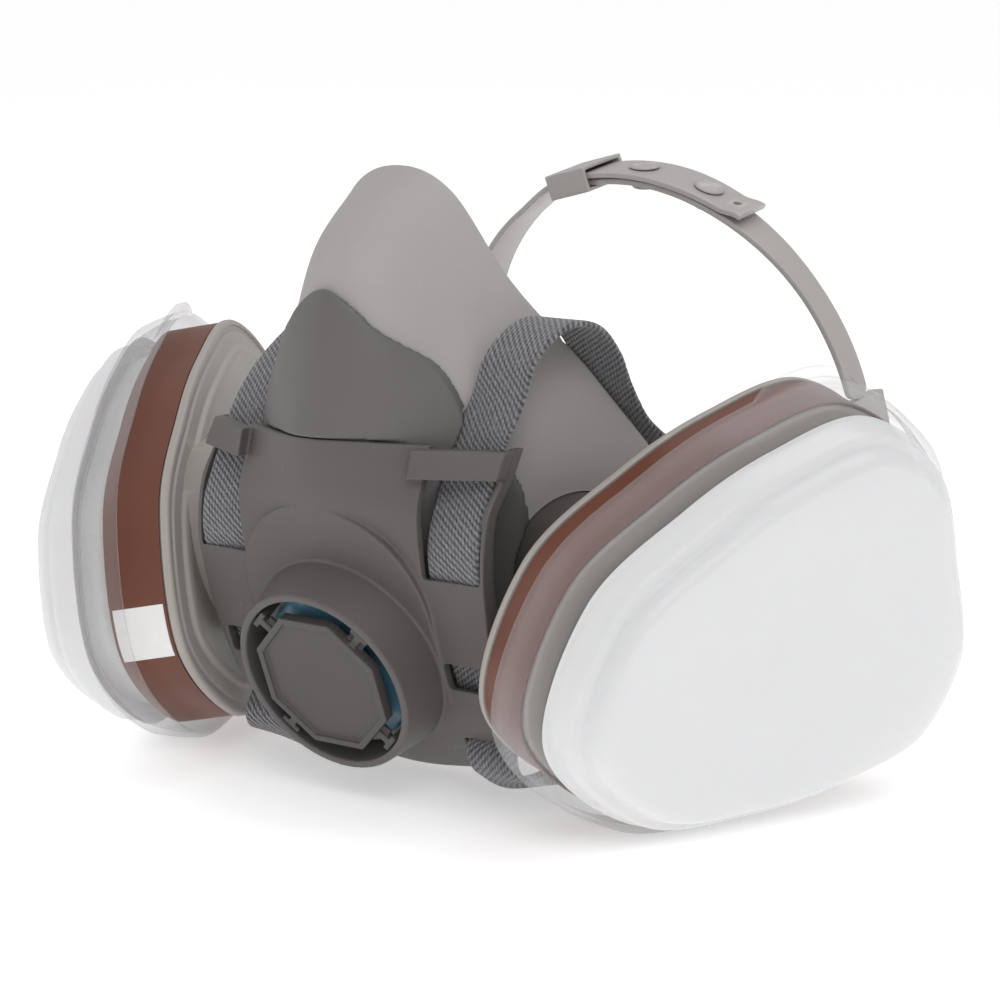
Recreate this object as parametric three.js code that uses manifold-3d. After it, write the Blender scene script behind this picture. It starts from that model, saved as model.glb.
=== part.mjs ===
// A reusable half-mask respirator with two bayonet gas cartridges, in millimetres, +Z up.
// -Y is the front of the mask, +Y the wearer's face, and X = 0 the plane of symmetry.
// "left" is the wearer's left, which is the +X side.
import * as THREE from 'three';
import { mergeVertices } from 'three/addons/utils/BufferGeometryUtils.js';
import { LoftGeometry } from 'three/addons/geometries/LoftGeometry.js';
import Module from 'manifold-3d';

const wasm = await Module();
wasm.setup();

// ---- Driving dimensions ----------------------------------------------------------------------
const GAP = 0.35; // clearance between touching pieces
const WALL = 2.2; // moulded wall
const SKIN = 2.6; // elastomer wall

const FLOOR_Z = -30.1; // the plane the mask lies on, below the centre of the valve ring
const CENTRE_Y = 72.74; // middle of the object from front to back, in the modelling frame

const VALVE_TILT = THREE.MathUtils.degToRad(21.85); // the exhalation valve looks this far down
const HORN_R = 23.5; // outer radius of the valve horn at its front ring
const HORN_ROOT_R = 25.5; // outer radius where the horn meets the casing
const HORN_WALL = 1.8;
const HORN_DEPTH = 11.8; // from the front ring back to the casing's face
const HORN_LEDGE = 10; // depth of the ledge that the valve seat's flange sits on
const BOSS_R = 26.3; // arched boss around the horn
const BOSS_RISE = 13.9;
const SEAT_R = 19;
const SEAT_TOP = -8.2;
const STEM_R = 1.6;
const FLAP_R = 19.5;
const FLAP_Z = -7.8;
const GUARD_R = 18.3; // corner radius of the octagonal guard plate
const GUARD_REACH = 21.3; // radius of the ends of its four spokes

const EDGE_DEPTH = 4.6; // depth of the casing's side flanges
const BAR_PROUD = 3.6; // guide bars over the upper slots
const BAR_BOTTOM = 50;
const BAR_TOP = 56.3;
const UPPER_SLOT = { x0: 25.9, x1: 40.4, z0: 27, z1: 70 };
const LOWER_SLOT = { x0: 26.6, x1: 38, z0: 0, z1: 6.4 };
const GRILLE_HOLES = [[-46, -14], [-27, 5], [-27, -22], [-8, -8], [-8, 18], [12, -24], [12, 6]];

const CARTRIDGE_CENTRE = new THREE.Vector3(93.6, 51.4, 17.6);
const CARTRIDGE_AZIMUTH = THREE.MathUtils.degToRad(68.2); // how far the filter face turns from the front
const CARTRIDGE_DROP = THREE.MathUtils.degToRad(10.9); // how far it looks down
const PORT_OFFSET = -27.9; // port axis from the cartridge centre, towards the front
const PORT_FACE = -27; // port face, along the cartridge axis
const PORT_R = 16.5;

const WEBBING = 14; // width of the elastic webbing
const WEBBING_THICK = 1.5;
const STRAP_BEND = [0.8044, 0.8173]; // where the upper straps bend, as shares of their routes

const BAND_HALF_SPAN = 58; // head cradle, an elliptical arch
const BAND_RISE = 59.5;
const BAND_TOP = new THREE.Vector3(-5, 134.6, 105.2);
const BAND_LEAN = 0.15; // the arch leans back by this much for each millimetre of drop
const BAND_SKEW = 0.095; // and its top lies this much to the right of its ends
const BAND_THICK = 1.6;
const BAND_LAP = 1.95; // how far the outer band is raised over the inner one
const BAND_END = 84; // degrees from the top of the arch to its ends
const STUD_ANGLES = [4, 22]; // degrees from the top of the arch
const STUD_TOP = BAND_LAP + BAND_THICK + 0.3;

// ---- Colours ---------------------------------------------------------------------------------
const material = (color, roughness, metalness = 0) =>
  new THREE.MeshStandardMaterial({ color, roughness, metalness });
const ELASTOMER = () => material(0xa5a09d, 0.62);
const CASING = () => material(0x655d5b, 0.55);
const TAN_GREY = () => material(0xb5aca3, 0.5);
const CLEAR = () => material(0xe6e6ea, 0.3);
const BROWN = () => material(0x6f3c28, 0.5);
const WHITE = () => material(0xf4f4f2, 0.9);
const CHARCOAL = () => material(0x1c1c1d, 0.95);
const BLUE = () => material(0x5a93ad, 0.3);
const FABRIC = () => material(0x77797d, 0.9);
const BAND = () => material(0xa79e9a, 0.5);

// ---- Solids ----------------------------------------------------------------------------------
const v3 = (x, y, z) => new THREE.Vector3(x, y, z);

// A closed three.js geometry, moved by a matrix, as a solid that can be cut and joined.
function solid(geometry, matrix) {
  const plain = new THREE.BufferGeometry();
  plain.setAttribute('position', geometry.getAttribute('position').clone());
  plain.setIndex(geometry.index);
  if (matrix) plain.applyMatrix4(matrix);
  const merged = mergeVertices(plain, 1e-4);
  const vertProperties = merged.attributes.position.array;
  const corners = merged.index.array;
  const kept = [];
  for (let i = 0; i < corners.length; i += 3) {
    const [a, b, c] = [corners[i], corners[i + 1], corners[i + 2]];
    if (a !== b && b !== c && c !== a) kept.push(a, b, c);
  }
  const build = (list) => new wasm.Manifold(
    new wasm.Mesh({ numProp: 3, vertProperties, triVerts: Uint32Array.from(list) })
  );
  const made = build(kept);
  return made.volume() > 0 ? made : build(kept.reverse());
}

function geometryOf(made) {
  const { vertProperties, triVerts } = made.getMesh();
  const geometry = new THREE.BufferGeometry();
  geometry.setAttribute('position', new THREE.BufferAttribute(vertProperties, 3));
  geometry.setIndex(new THREE.BufferAttribute(triVerts, 1));
  geometry.computeVertexNormals();
  return geometry;
}

const respirator = new THREE.Group();
respirator.position.set(0, -CENTRE_Y, -FLOOR_Z);

function add(parent, name, made, look) {
  const geometry = made.isBufferGeometry ? made : geometryOf(made);
  const mesh = new THREE.Mesh(geometry, look);
  mesh.name = name;
  parent.add(mesh);
  return mesh;
}

const loft = (sections) => new LoftGeometry(sections, { capStart: true, capEnd: true });
const slide = (x, y, z) => new THREE.Matrix4().makeTranslation(x, y, z);
const block = (x, y, z, w, d, h) => solid(new THREE.BoxGeometry(w, d, h), slide(x, y, z));

// A solid of revolution about +Z, from [radius, height] corners that start and end on the axis
// or close on themselves.
function turned(profile, segments = 22, matrix) {
  const points = profile.map(([r, z]) => new THREE.Vector2(r, z));
  const geometry = new THREE.LatheGeometry(points, segments).rotateX(Math.PI / 2);
  return solid(geometry, matrix);
}
const disc = (r, z0, z1, matrix, segments = 22) =>
  turned([[0, z0], [r, z0], [r, z1], [0, z1]], segments, matrix);
const ring = (inner, outer, z0, z1, matrix, segments = 22) =>
  turned([[inner, z0], [outer, z0], [outer, z1], [inner, z1], [inner, z0]], segments, matrix);

function prism(points, z0, z1, matrix) {
  const shape = new THREE.Shape(points.map(([x, y]) => new THREE.Vector2(x, y)));
  const geometry = new THREE.ExtrudeGeometry(shape, { depth: z1 - z0, bevelEnabled: false });
  return solid(geometry.translate(0, 0, z0), matrix);
}

// ---- Frames ----------------------------------------------------------------------------------
// Valve: +Z out of the valve, +Y up in its ring plane.
const valveFrame = new THREE.Matrix4().makeRotationX(Math.PI / 2 + VALVE_TILT);

// Cartridge: +Z out of the filter face, +X towards the wearer's ear, +Y up.
const cartridgeOut = v3(
  Math.sin(CARTRIDGE_AZIMUTH) * Math.cos(CARTRIDGE_DROP),
  -Math.cos(CARTRIDGE_AZIMUTH) * Math.cos(CARTRIDGE_DROP),
  -Math.sin(CARTRIDGE_DROP)
);
const cartridgeBack = v3(Math.cos(CARTRIDGE_AZIMUTH), Math.sin(CARTRIDGE_AZIMUTH), 0);
const cartridgeUp = cartridgeOut.clone().cross(cartridgeBack);
const cartridgeFrame = new THREE.Matrix4()
  .makeBasis(cartridgeBack, cartridgeUp, cartridgeOut)
  .setPosition(CARTRIDGE_CENTRE);
const portFrame = cartridgeFrame.clone().multiply(slide(PORT_OFFSET, 0, PORT_FACE));
const mirror = new THREE.Matrix4().makeScale(-1, 1, 1);
const bothSides = (made) => [made, made.transform(mirror.elements)];

// ---- Facepiece surface -----------------------------------------------------------------------
// Eight meridians of the left half, each from the face rim to the front, from nose to chin.
const MERIDIANS = [
  [v3(0, 30, 116), v3(0, 8.5, 101.5), v3(0, 1.4, 84), v3(0, -2.6, 62)],
  [v3(14, 31, 110.5), v3(11.2, 12.6, 97.5), v3(7.7, 3, 81), v3(3.5, -2.4, 60.5)],
  [v3(27, 36.5, 90), v3(21.6, 20, 81), v3(14.9, 5.6, 70), v3(6.8, -1.6, 55)],
  [v3(42, 50.5, 66.4), v3(33.6, 27, 62), v3(23, 11, 56), v3(10.5, 0.6, 49)],
  [v3(54, 68, 36), v3(43.2, 43, 37), v3(30, 20.5, 37.5), v3(13.5, 4.6, 40)],
  [v3(47, 80, 2), v3(40, 55, 2), v3(30, 29, 8), v3(13, 9, 28)],
  [v3(24, 85, -17), v3(22, 61, -23), v3(18, 34, -15), v3(9, 13, 16)],
  [v3(0, 86, -22), v3(0, 62, -30.1), v3(0, 33, -21), v3(0, 14.5, 10)]
];
const spline = (points, closed = false) =>
  new THREE.CatmullRomCurve3(points, closed, 'catmullrom', 0.5);
const meridianCurves = MERIDIANS.map((points) => spline(points));

// The closed outline of the cup at a depth from 0, at the face rim, to 1, at the front.
function cupOutline(depth) {
  const half = meridianCurves.map((curve) => curve.getPoint(depth));
  const other = half.slice(1, -1).reverse().map((p) => v3(-p.x, p.y, p.z));
  return spline([...half, ...other], true);
}

// Sections of the cup's surface moved outwards by a distance, from the face rim to the front.
function cupSections(distance, levels = 7, around = 28) {
  const sections = [];
  for (let i = 0; i < levels; i++) {
    const depth = i / (levels - 1);
    const here = cupOutline(depth);
    const next = cupOutline(Math.min(1, depth + 0.02));
    const before = cupOutline(Math.max(0, depth - 0.02));
    const section = [];
    for (let j = 0; j < around; j++) {
      const turn = 1 - j / around;
      const along = next.getPoint(turn).sub(before.getPoint(turn));
      const across = here.getPoint((turn + 0.01) % 1).sub(here.getPoint((turn + 0.99) % 1));
      const normal = along.cross(across).normalize();
      section.push(here.getPoint(turn).addScaledVector(normal, distance));
    }
    sections.push(section);
  }
  return sections;
}

// The cup filled in, and run on past the face rim or past its front along its own surface.
function cupSolid(distance, behind = 0, front = 0) {
  const sections = cupSections(distance);
  if (behind) sections.unshift(sections[0].map((p) => p.clone().add(v3(0, behind, behind * 0.4))));
  if (front) {
    const [before, last] = sections.slice(-2);
    sections.push(last.map((p, i) => {
      const onwards = p.clone().sub(before[i]).normalize();
      return p.clone().addScaledVector(onwards, front);
    }));
  }
  return solid(loft(sections));
}

// ---- Casing surface --------------------------------------------------------------------------
// Front face of the casing: its mid-line from the top edge to the bottom, with how far the sides
// sweep back, how far they rise, and the half width at each level.
const CASING_LEVELS = [
  { y: -5, z: 57.6, sweep: 6.4, rise: -0.45, half: 42 },
  { y: -4.9, z: 50, sweep: 5.1, rise: -0.2, half: 42 },
  { y: -4, z: 41.7, sweep: 3.3, rise: 0, half: 41.8 },
  { y: 0.7, z: 30, sweep: 1.4, rise: 0, half: 41.6 },
  { y: 4.7, z: 20, sweep: 0.7, rise: 0, half: 41.2 },
  { y: 8.7, z: 10, sweep: 0.3, rise: 0, half: 40.5 },
  { y: 12.7, z: 0, sweep: 0.2, rise: 0, half: 39.5 },
  { y: 17.4, z: -10, sweep: 0, rise: 0.2, half: 37.5 },
  { y: 25, z: -19.6, sweep: 0, rise: 0.8, half: 33 },
  { y: 34, z: -26, sweep: 0, rise: 1.5, half: 27 },
  { y: 43, z: -28.6, sweep: 0, rise: 2, half: 20 }
];
const bow = (x) => Math.sqrt(1 + (x / 10) ** 2) - 1;

function casingSections(front, back, wide = 0) {
  return CASING_LEVELS.map((level, i) => {
    const above = CASING_LEVELS[Math.max(0, i - 1)];
    const below = CASING_LEVELS[Math.min(CASING_LEVELS.length - 1, i + 1)];
    const inward = v3(0, above.z - below.z, below.y - above.y).normalize();
    const steps = 10;
    const across = (depth, sign) =>
      Array.from({ length: steps + 1 }, (_, j) => {
        const x = sign * (level.half + wide) * (1 - (2 * j) / steps);
        const bend = bow(x);
        return v3(x, level.y + level.sweep * bend, level.z + level.rise * bend)
          .addScaledVector(inward, depth);
      });
    return [...across(front, 1), ...across(back, -1)];
  });
}

// A layer of the casing between two depths. With `over` it runs past the top and bottom edges.
function casingPlate(front, back, wide = 0, over = 0) {
  const sections = casingSections(front, back, wide);
  if (over) {
    sections.unshift(sections[0].map((p) => p.clone().add(v3(0, 0, over))));
    sections.push(sections.at(-1).map((p) => p.clone().add(v3(0, over, -0.29 * over))));
  }
  return solid(loft(sections));
}

// ---- Webbing ---------------------------------------------------------------------------------
// A flat strap along a curve. `across` gives its width direction at each of the route's points.
function ribbon(route, across, width, thick, steps, from = 0, to = 1) {
  const path = spline(route);
  const sides = spline(across);
  const sections = Array.from({ length: steps + 1 }, (_, i) => {
    const t = from + ((to - from) * i) / steps;
    const p = path.getPoint(t);
    const along = path.getTangent(t);
    const face = along.clone().cross(sides.getPoint(t)).normalize();
    const side = face.clone().cross(along).normalize();
    return [[-1, -1], [1, -1], [1, 1], [-1, 1]].map(([a, b]) => p.clone()
      .addScaledVector(side, (a * width) / 2).addScaledVector(face, (b * thick) / 2));
  });
  return solid(loft(sections));
}
// The left strap stands up in an arch behind its guide bar, and the right one lies back.
const STRAP_START = [v3(33.2, 9.2, 22.5), v3(33.2, 6.2, 29), v3(33.2, 6.6, 38), v3(33.2, 12.4, 50)];
const STRAP_TAIL = [
  v3(58, 118, 38), v3(61, 131, 41.5), v3(60.8, 136, 43), v3(58.4, 139.4, 43.2), v3(55.8, 142, 43.4)
];
const UPPER_ROUTES = {
  left: [
    ...STRAP_START, v3(33.6, 16, 58), v3(36, 18.6, 66), v3(38, 21.5, 76), v3(40.5, 30, 82.4),
    v3(42.2, 39.5, 81.5), v3(42.4, 47.5, 75), v3(42, 54, 65.5), v3(43, 61.5, 56),
    v3(46.5, 74, 46), v3(52, 94, 38.5), ...STRAP_TAIL
  ],
  right: [
    ...STRAP_START, v3(33.4, 17, 58), v3(33.2, 23, 65), v3(33, 31, 71), v3(33.5, 40.5, 75),
    v3(35.5, 50.5, 73), v3(38, 59, 66), v3(40.5, 66.5, 57.5), v3(44, 75, 50),
    v3(48, 86, 43.5), v3(53, 101, 39), ...STRAP_TAIL
  ].map((p) => v3(-p.x, p.y, p.z))
};
const twist = (route, from, to, end) => route.map((_, i) =>
  v3(1, 0, 0).lerp(end, THREE.MathUtils.clamp((i - from) / (to - from), 0, 1)));
const lowerRoute = [
  v3(32.5, 14.8, 7), v3(32.5, 17.8, 0), v3(32.5, 21, -6.5), v3(32.8, 22.4, -11.5),
  v3(33.4, 20.2, -16.8), v3(34, 23, -21.4), v3(35.5, 31, -24), v3(38.5, 44, -22.8),
  v3(43, 62, -21.8), v3(45, 82, -21.6), v3(42, 102, -21.6), v3(29, 117, -21.6),
  v3(12, 121.5, -21.6)
];
const lowerAcross = twist(lowerRoute, 5, 8, v3(0.2, 0, 1));
const lowerStrap = (margin = 0) =>
  ribbon(lowerRoute, lowerAcross, WEBBING + 2 * margin, WEBBING_THICK + 2 * margin, 22);
// An upper strap bends at the cradle's axis, so its end is a piece of its own past a short gap.
function upperStrap(side, steps, from = 0, to = 1, margin = 0) {
  const across = twist(UPPER_ROUTES[side], 11, 15, v3(0, side === 'left' ? 0.3 : -0.3, 1));
  const [width, thick] = [WEBBING + 2 * margin, WEBBING_THICK + 2 * margin];
  return ribbon(UPPER_ROUTES[side], across, width, thick, steps, from, to);
}
const strapRoom = [
  ...['left', 'right'].map((side) => upperStrap(side, 45, 0, 1, GAP + 0.15)),
  ...bothSides(lowerStrap(0.6))
];

// ---- Facepiece, body shell and casing --------------------------------------------------------
const valveBore = (radius, z0, z1) => disc(radius, z0, z1, valveFrame);
const portBores = (radius, z0 = -34, z1 = 30) => bothSides(disc(radius, z0, z1, portFrame));
const cutAll = (made, cuts) => cuts.reduce((left, cut) => left.subtract(cut), made);

const casingRoom = casingPlate(-14, WALL + 0.7, 6, 0.4);
const cupInside = cupSolid(-SKIN, 6);
const facepiece = cutAll(cupSolid(0).subtract(cupInside), [
  ...portBores(PORT_R + GAP),
  ...strapRoom,
  valveBore(SEAT_R + GAP, -60, 10),
  casingRoom
]);
add(respirator, 'facepiece', facepiece, ELASTOMER());

// Dark hard shell over the nose and the sides: its outline as seen from the front.
const SHELL_OUTLINE = [
  [0, 90.4], [7, 86.8], [12, 82], [17, 78], [21, 74.8], [24, 71.3], [26.8, 66.5], [29.5, 60],
  [33, 54.5], [36.6, 43], [35.6, 28], [30, 14], [16, 4], [0, 1]
].map(([x, z]) => v3(x, z, 0));
const shellHalf = SHELL_OUTLINE.slice(1, -1).reverse().map((p) => v3(-p.x, p.y, 0));
const shellCurve = spline([...SHELL_OUTLINE, ...shellHalf], true);
const shellPoints = shellCurve.getPoints(44).slice(1).map((p) => [p.x, p.y]);
const frontProjection = new THREE.Matrix4().makeRotationX(Math.PI / 2);
const shellArea = prism(shellPoints, -60, 60, frontProjection);
const shellOver = cupSolid(1.9, 0, 5).subtract(cupSolid(GAP, 8));
const bodyShell = cutAll(shellOver.intersect(shellArea), [
  valveBore(SEAT_R + GAP, -60, 20),
  ...portBores(PORT_R + GAP),
  ...strapRoom,
  casingRoom
]);
add(respirator, 'body_shell', bodyShell, CASING());

// Front casing: a plate with edge flanges, the valve horn, webbing slots and guide bars.
const layer = (front, back, x0, x1, z0, z1) => casingPlate(front, back, 1)
  .intersect(block((x0 + x1) / 2, 0, (z0 + z1) / 2, x1 - x0, 200, z1 - z0));
const slot = ({ x0, x1, z0, z1 }) => bothSides(
  block((x0 + x1) / 2, 5, (z0 + z1) / 2, x1 - x0, 70, z1 - z0)
);
const guideBar = layer(-BAR_PROUD, 0.1, 24.4, 42.4, BAR_BOTTOM, BAR_TOP);
const horn = turned([
  [HORN_R - HORN_WALL, 0], [HORN_R, 0], [HORN_ROOT_R, -11], [HORN_ROOT_R, -HORN_DEPTH - WALL],
  [SEAT_R + GAP, -HORN_DEPTH - WALL], [SEAT_R + GAP, -HORN_LEDGE],
  [HORN_R - HORN_WALL, -HORN_LEDGE], [HORN_R - HORN_WALL, 0]
], 30, valveFrame);
const arch = [[-BOSS_R, -8], [BOSS_R, -8], [BOSS_R, BOSS_RISE]];
for (let k = 1; k < 14; k++) {
  const a = (Math.PI * k) / 14;
  arch.push([BOSS_R * Math.cos(a), BOSS_RISE + BOSS_R * Math.sin(a)]);
}
arch.push([-BOSS_R, BOSS_RISE]);
const boss = prism(arch, -HORN_DEPTH - 1.5, -HORN_DEPTH, valveFrame);
const plate = casingPlate(0, EDGE_DEPTH).subtract(casingPlate(WALL, EDGE_DEPTH + 3, -WALL, 4));
const slotted = cutAll(plate.add(boss), [
  ...slot(UPPER_SLOT), ...slot(LOWER_SLOT), valveBore(HORN_R - HORN_WALL, -60, 20)
]);
const casing = [horn, ...bothSides(guideBar)].reduce((made, piece) => made.add(piece), slotted);
add(respirator, 'front_casing', cutAll(casing, strapRoom), CASING());

// ---- Exhalation valve ------------------------------------------------------------------------
const valve = new THREE.Group();
valve.applyMatrix4(valveFrame);
respirator.add(valve);

function spider(hubR, rimR, width, z0, z1, arms) {
  let made = disc(hubR, z0, z1, undefined, 20);
  for (let k = 0; k < arms; k++) {
    const turn = new THREE.Matrix4().makeRotationZ((2 * Math.PI * k) / arms);
    const arm = new THREE.BoxGeometry(rimR, width, z1 - z0).translate(rimR / 2, 0, (z0 + z1) / 2);
    made = made.add(solid(arm, turn));
  }
  return made;
}

const seat = turned([
  [SEAT_R - 2.4, -24], [SEAT_R, -24], [SEAT_R, SEAT_TOP - 1.4], [SEAT_R + 2.2, SEAT_TOP - 1.4],
  [SEAT_R + 2.2, SEAT_TOP], [SEAT_R - 2.4, SEAT_TOP], [SEAT_R - 2.4, -24]
], 26);
const seatHub = spider(3.4, SEAT_R - 1, 2, SEAT_TOP - 1.8, SEAT_TOP - 0.2, 4)
  .subtract(disc(STEM_R + GAP, -30, 0, undefined, 16));
add(valve, 'exhalation_valve_seat', seat.add(seatHub), TAN_GREY());

const flap = turned([
  [0, -18], [STEM_R, -18], [STEM_R, FLAP_Z], [FLAP_R, FLAP_Z], [FLAP_R, FLAP_Z + 0.9],
  [FLAP_R * 0.6, FLAP_Z + 1.7], [0, FLAP_Z + 2]
], 26);
add(valve, 'exhalation_flap', flap, BLUE());

const octagon = (r) => Array.from({ length: 8 }, (_, k) => {
  const a = (Math.PI * (2 * k + 1)) / 8;
  return [r * Math.cos(a), r * Math.sin(a)];
});
let guard = prism(octagon(GUARD_R), -2.2, 0.6).subtract(prism(octagon(GUARD_R - 1.4), -0.2, 2));
for (let k = 0; k < 4; k++) {
  const turn = new THREE.Matrix4().makeRotationZ(Math.PI / 4 + (Math.PI * k) / 2);
  const spoke = new THREE.BoxGeometry(6.5, 1.8, 2.2).translate(GUARD_REACH - 3.25, 0, -1.7);
  const leg = new THREE.BoxGeometry(1.4, 5, 6).translate(GUARD_REACH - 0.7, 0, -3.6);
  guard = guard.add(solid(spoke, turn)).add(solid(leg, turn));
}
add(valve, 'valve_guard', guard, CASING());

// ---- Cartridge, prefilter and port, one set for each side ------------------------------------
// The cartridge's outline: an egg with its narrow end forwards and down, turned by OUTLINE_TURN.
const OUTLINE_TURN = THREE.MathUtils.degToRad(18);
const OUTLINE = [
  [45.7, 0], [43.5, 25], [25.6, 44.2], [0, 46], [-24, 41.7], [-52.2, 30.2], [-69.5, 0]
].map(([x, y]) => v3(x, y, 0));
const outlineOther = OUTLINE.slice(1, -1).reverse().map((p) => v3(p.x, -p.y, 0));
const outlineCurve = spline([...OUTLINE, ...outlineOther], true);

// The outline grown by an amount, at a height along the cartridge axis.
function outlineAt(grow, height, around = 24) {
  const spin = new THREE.Matrix4().makeRotationZ(OUTLINE_TURN);
  return Array.from({ length: around }, (_, k) => {
    const p = outlineCurve.getPoint(k / around);
    const along = outlineCurve.getTangent(k / around);
    return v3(p.x + along.y * grow, p.y - along.x * grow, height).applyMatrix4(spin);
  });
}
const eggSolid = (levels) => solid(loft(levels.map(([grow, height]) => outlineAt(grow, height))));
const atPort = (made) => made.transform(slide(PORT_OFFSET, 0, PORT_FACE).elements);

function addSide(side, flip) {
  const half = new THREE.Group();
  half.scale.x = flip;
  respirator.add(half);
  const port = new THREE.Group();
  port.applyMatrix4(portFrame);
  const cartridge = new THREE.Group();
  cartridge.applyMatrix4(cartridgeFrame);
  half.add(port, cartridge);

  let tube = turned([
    [PORT_R - 3, -26], [PORT_R, -26], [PORT_R, -9], [20.6, -9], [20.6, -6.5], [PORT_R, -6.5],
    [PORT_R, 0], [PORT_R - 3, 0], [PORT_R - 3, -26]
  ], 22).add(spider(3, PORT_R - 1.5, 1.8, -25.5, -23.5, 3)
    .subtract(disc(STEM_R + GAP, -30, -20, undefined, 12)));
  for (let k = 0; k < 3; k++) {
    const turn = new THREE.Matrix4().makeRotationZ((2 * Math.PI * k) / 3);
    const lug = new THREE.BoxGeometry(3, 6, 2.4).translate(PORT_R + 0.6, 0, -1.3);
    tube = tube.add(solid(lug, turn));
  }
  add(port, `bayonet_port_${side}`, tube, CASING());
  add(port, `port_gasket_${side}`, ring(PORT_R + GAP, 20.2, -6.1, -4.5), CHARCOAL());
  add(port, `inhalation_flap_${side}`, turned([
    [0, -28], [12.6, -27.1], [12.6, -26.4], [STEM_R, -26.4], [STEM_R, -21], [0, -21]
  ]), WHITE());

  const neck = atPort(ring(19.4, 24, -4.1, 3));
  const base = eggSolid([[-10, -27], [-8.4, -26.4], [-8, -25.2], [-1.6, -24.8], [-1.2, -24.2],
    [-1.2, -22.8]]);
  const baseCut = atPort(disc(19.4, -8, 1.2)).add(atPort(disc(13, 0, 8)));
  add(cartridge, `cartridge_base_${side}`, base.add(neck).subtract(baseCut), TAN_GREY());

  let canister = eggSolid([[-2.4, -22.4], [-2.4, -7.4]])
    .subtract(eggSolid([[-4, -23], [-4, -9]]));
  for (const [x, y] of GRILLE_HOLES) {
    canister = canister.subtract(disc(7, -12, -5, slide(x, y, 0), 12));
  }
  add(cartridge, `cartridge_canister_${side}`, canister, TAN_GREY());
  add(cartridge, `sorbent_bed_${side}`, eggSolid([[-4.4, -21.8], [-4.4, -9.4]]), CHARCOAL());
  add(cartridge, `label_band_${side}`, eggSolid([[-1.6, -22.2], [-1.6, -9]])
    .subtract(eggSolid([[-2.05, -24], [-2.05, -8]])), BROWN());

  const cap = eggSolid([[2.7, -12.7], [2.4, -8], [0.6, -1.4], [-0.8, 0], [-3.8, 0.5],
    [-4.6, 2], [-6.2, 10.6], [-7.1, 12.4], [-9.6, 13.3]]);
  const capInside = eggSolid([[1.4, -13.5], [1.1, -8], [-0.7, -2], [-2.2, -1], [-5.1, -0.6],
    [-5.9, 1.4], [-7.5, 9.8], [-9.9, 12]]);
  add(cartridge, `prefilter_retainer_${side}`, cap.subtract(capInside), CLEAR());
  add(cartridge, `prefilter_pad_${side}`, eggSolid([[-9, -6.9], [-7.4, -5.4], [-6.8, -2.4],
    [-8.4, 8.6], [-12, 11.2]]), WHITE());
}
addSide('left', 1);
addSide('right', -1);

for (const [side, flip] of [['left', 1], ['right', -1]]) {
  const half = new THREE.Group();
  half.scale.x = flip;
  respirator.add(half);
  add(half, `lower_strap_${side}`, lowerStrap(), FABRIC());
  add(respirator, `upper_strap_${side}`, upperStrap(side, 36, 0, STRAP_BEND[0]), FABRIC());
  add(respirator, `upper_strap_end_${side}`, upperStrap(side, 9, STRAP_BEND[1]), FABRIC());
}

// ---- Neck clasp ------------------------------------------------------------------------------
// Two halves that meet behind the mask: each holds the end of a lower strap in a flat socket.
const CLASP = { y: 121.5, z: -21.6, w: 15, d: 4.6, h: 14.8 };
const claspSocket = block(0, CLASP.y, CLASP.z, 60, WEBBING_THICK + 1, WEBBING)
  .subtract(block(0, CLASP.y, CLASP.z, 16, 20, 20));
const claspHalf = (sign) => block(sign * (CLASP.w / 2 + GAP), CLASP.y, CLASP.z, CLASP.w, CLASP.d, CLASP.h)
  .subtract(claspSocket);
const hookSlot = block(3.4, CLASP.y, CLASP.z, 8, 1.8, 7);
const hookTongue = block(1.4, CLASP.y, CLASP.z, 8.4, 1, 6);
add(respirator, 'neck_clasp_loop', cutAll(claspHalf(1).subtract(hookSlot), strapRoom), CASING());
add(respirator, 'neck_clasp_hook', cutAll(claspHalf(-1).add(hookTongue), strapRoom), CASING());

// ---- Head cradle -----------------------------------------------------------------------------
const leanAxis = v3(BAND_SKEW, BAND_LEAN, -1).normalize();
const widthAxis = v3(1, 0, 0).cross(leanAxis).normalize();
const X_AXIS = v3(1, 0, 0);

// A point of the arch at an angle from its top, its tangent and its outward direction.
function archAt(angle) {
  const point = BAND_TOP.clone()
    .addScaledVector(X_AXIS, BAND_HALF_SPAN * Math.sin(angle))
    .addScaledVector(leanAxis, BAND_RISE * (1 - Math.cos(angle)));
  const along = X_AXIS.clone().multiplyScalar(BAND_HALF_SPAN * Math.cos(angle))
    .addScaledVector(leanAxis, BAND_RISE * Math.sin(angle)).normalize();
  return { point, along, out: along.clone().cross(widthAxis).normalize() };
}

// A band over the arch between two angles in degrees, raised off it by lift(angle).
function band(from, to, width, lift, steps) {
  const sections = Array.from({ length: steps + 1 }, (_, i) => {
    const degrees = from + ((to - from) * i) / steps;
    const { point, out } = archAt(THREE.MathUtils.degToRad(degrees));
    const half = width(degrees) / 2;
    const bottom = lift(degrees);
    return [[-1, 0], [1, 0], [1, BAND_THICK], [-1, BAND_THICK]].map(([a, b]) => point.clone()
      .addScaledVector(widthAxis, a * half).addScaledVector(out, bottom + b));
  });
  return solid(loft(sections));
}
const ease = (x, a, b) => THREE.MathUtils.smoothstep(x, a, b);

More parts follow.
